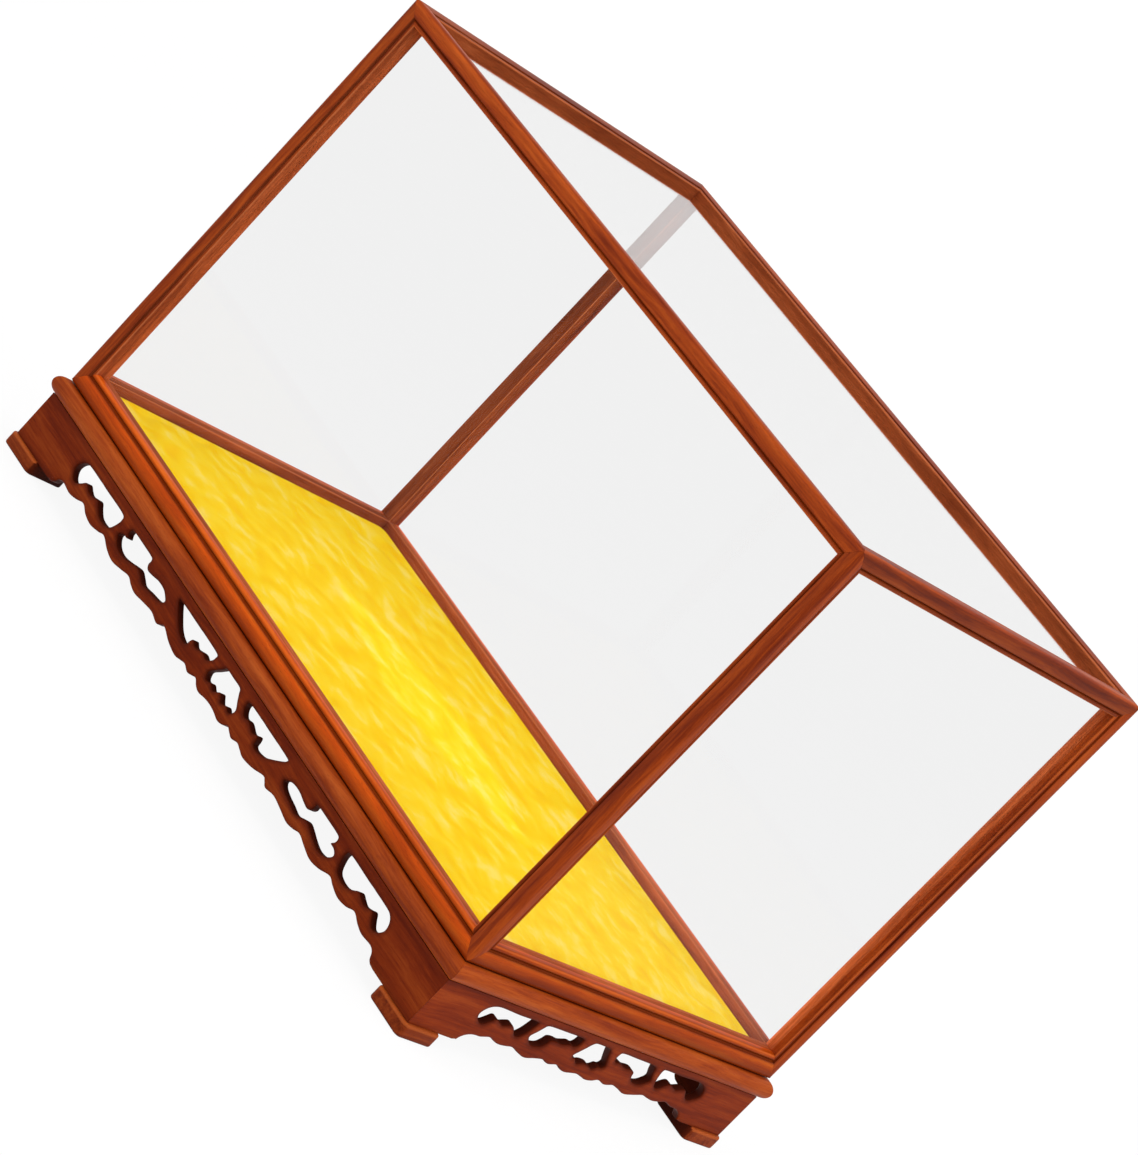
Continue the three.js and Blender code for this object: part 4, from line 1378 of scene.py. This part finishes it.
def round_corner(x, y, half_x, half_y, radius=0.007):
    """Bend the square grid round a corner, so that its outline becomes an arc there."""
    p, q = (abs(x) - half_x) / radius + 1, (abs(y) - half_y) / radius + 1
    if p <= 0 or q <= 0:
        return x, y
    across = p * math.sqrt(max(0.0, 1 - q * q / 2))
    along = q * math.sqrt(max(0.0, 1 - p * p / 2))
    return (math.copysign(half_x + radius * (across - 1), x),
            math.copysign(half_y + radius * (along - 1), y))


def pad_mesh(columns=84, rows=50, roll=0.0014, shrink=0.0003, draw_in=0.0004, wobble_size=0.0002):
    """A closed pad: its top in a grid, a rolled edge, and a flat underside."""
    top_x, top_y = pad_half_x - shrink - roll, pad_half_y - shrink - roll
    along, across = spread(top_x, columns), spread(top_y, rows)
    wide, deep = len(along), len(across)
    points, faces = [], []

    def add_point(k, out, height, crown):
        u, v = along[k % wide] / top_x, across[k // wide] / top_y
        half_x = top_x + out - draw_in * math.cos(v * math.pi / 2)
        half_y = top_y + out - draw_in * math.cos(u * math.pi / 2)
        x, y = round_corner(u * half_x, v * half_y, half_x, half_y)
        wobble = wobble_size * noise.noise(Vector((x * 90, y * 90, 3.0)))
        points.append((x * (1 + wobble / half_x), y * (1 + wobble / half_y),
                       pad_bottom + height + crown * (1 - u * u) * (1 - v * v)))
        return len(points) - 1

    edge_height = pad_height - pad_crown + velvet_loft
    top = [add_point(k, 0.0, edge_height - top_drop, pad_crown * crown_share)
           for k in range(wide * deep)]
    low = [add_point(k, roll * 0.5, 0.0, 0.0) for k in range(wide * deep)]
    for j in range(deep - 1):
        for i in range(wide - 1):
            k = j * wide + i
            square = [k, k + 1, k + wide + 1, k + wide]
            faces.append([top[k] for k in square])
            faces.append([low[k] for k in reversed(square)])
    rim = list(range(wide - 1)) + [wide - 1 + j * wide for j in range(deep - 1)]
    rim += [deep * wide - 1 - k for k in rim]
    rings = [[low[k] for k in rim]]
    for out, height in roll_steps:
        rings.append([add_point(k, roll * out, edge_height * height, 0.0) for k in rim])
    rings.append([top[k] for k in rim])
    for lower, upper in zip(rings, rings[1:]):
        for i in range(len(rim)):
            j = (i + 1) % len(rim)
            faces.append((lower[i], lower[j], upper[j], upper[i]))
    mesh = bpy.data.meshes.new("velvet floor")
    mesh.from_pydata(points, [], faces)
    tidy_faces(mesh)
    return mesh


pad = add_object("velvet_floor", pad_mesh())
print("pad drawn with", len(pad.data.vertices), "points")

# %% Let the velvet pucker
side_limit = 0.0005
up_limit = 0.0013
held_edge = 0.006
held_height = 0.0012
free_height = 0.003
wave_size = 0.0002


def pucker(piece, frames=18):
    """Run a short cloth simulation and keep the result, within limits."""
    vertices = piece.data.vertices
    still = [v.co.copy() for v in vertices]
    inside = [min(pad_half_x - abs(v.co.x), pad_half_y - abs(v.co.y)) for v in vertices]
    held = [i for i, v in enumerate(vertices)
            if v.co.z < pad_bottom + held_height or inside[i] < held_edge]
    piece.vertex_groups.new(name="held").add(held, 1.0, "REPLACE")
    for vertex, reach in zip(vertices, inside):
        if vertex.co.z > pad_bottom + free_height and reach > held_edge:
            wave = noise.noise(Vector((vertex.co.x * 30, vertex.co.y * 55, 0.5)))
            vertex.co.z += wave_size * wave * min(1.0, (reach - held_edge) / 0.02)
    modifier = piece.modifiers.new("cloth", "CLOTH")
    set_values(modifier.settings, vertex_group_mass="held", use_pressure=True,
               uniform_pressure_force=1.2, shrink_min=-0.02, bending_stiffness=0.05,
               tension_stiffness=12, compression_stiffness=12)
    modifier.settings.effector_weights.gravity = 0
    modifier.collision_settings.use_collision = False
    set_values(modifier.point_cache, frame_start=1, frame_end=frames)
    for number in range(1, frames + 1):
        bpy.context.scene.frame_set(number)
    puffed = plain_mesh(piece, "puffed")
    moved = 0.0
    for vertex, before, after in zip(vertices, still, puffed.vertices):
        shift = after.co - before
        for axis, limit in enumerate((side_limit, side_limit, up_limit)):
            shift[axis] = max(-limit, min(limit, shift[axis]))
        vertex.co = before + shift
        moved = max(moved, shift.length)
    piece.modifiers.remove(modifier)
    bpy.data.meshes.remove(puffed)
    bpy.context.scene.frame_set(1)
    return moved


print("velvet moved by up to", round(pucker(pad) * 1000, 2), "mm")

# %% Round the pad and finish it
smoother = pad.modifiers.new("finer", "SUBSURF")
set_values(smoother, levels=1, render_levels=1)
finer = plain_mesh(pad, "velvet_floor")
pad.modifiers.remove(smoother)
pad.data = finer
for face in finer.polygons:
    face.use_smooth = True
give_finish(finer, velvet)
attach(pad, "stand")
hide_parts("velvet_pad")
print("pad faces:", len(finer.polygons))
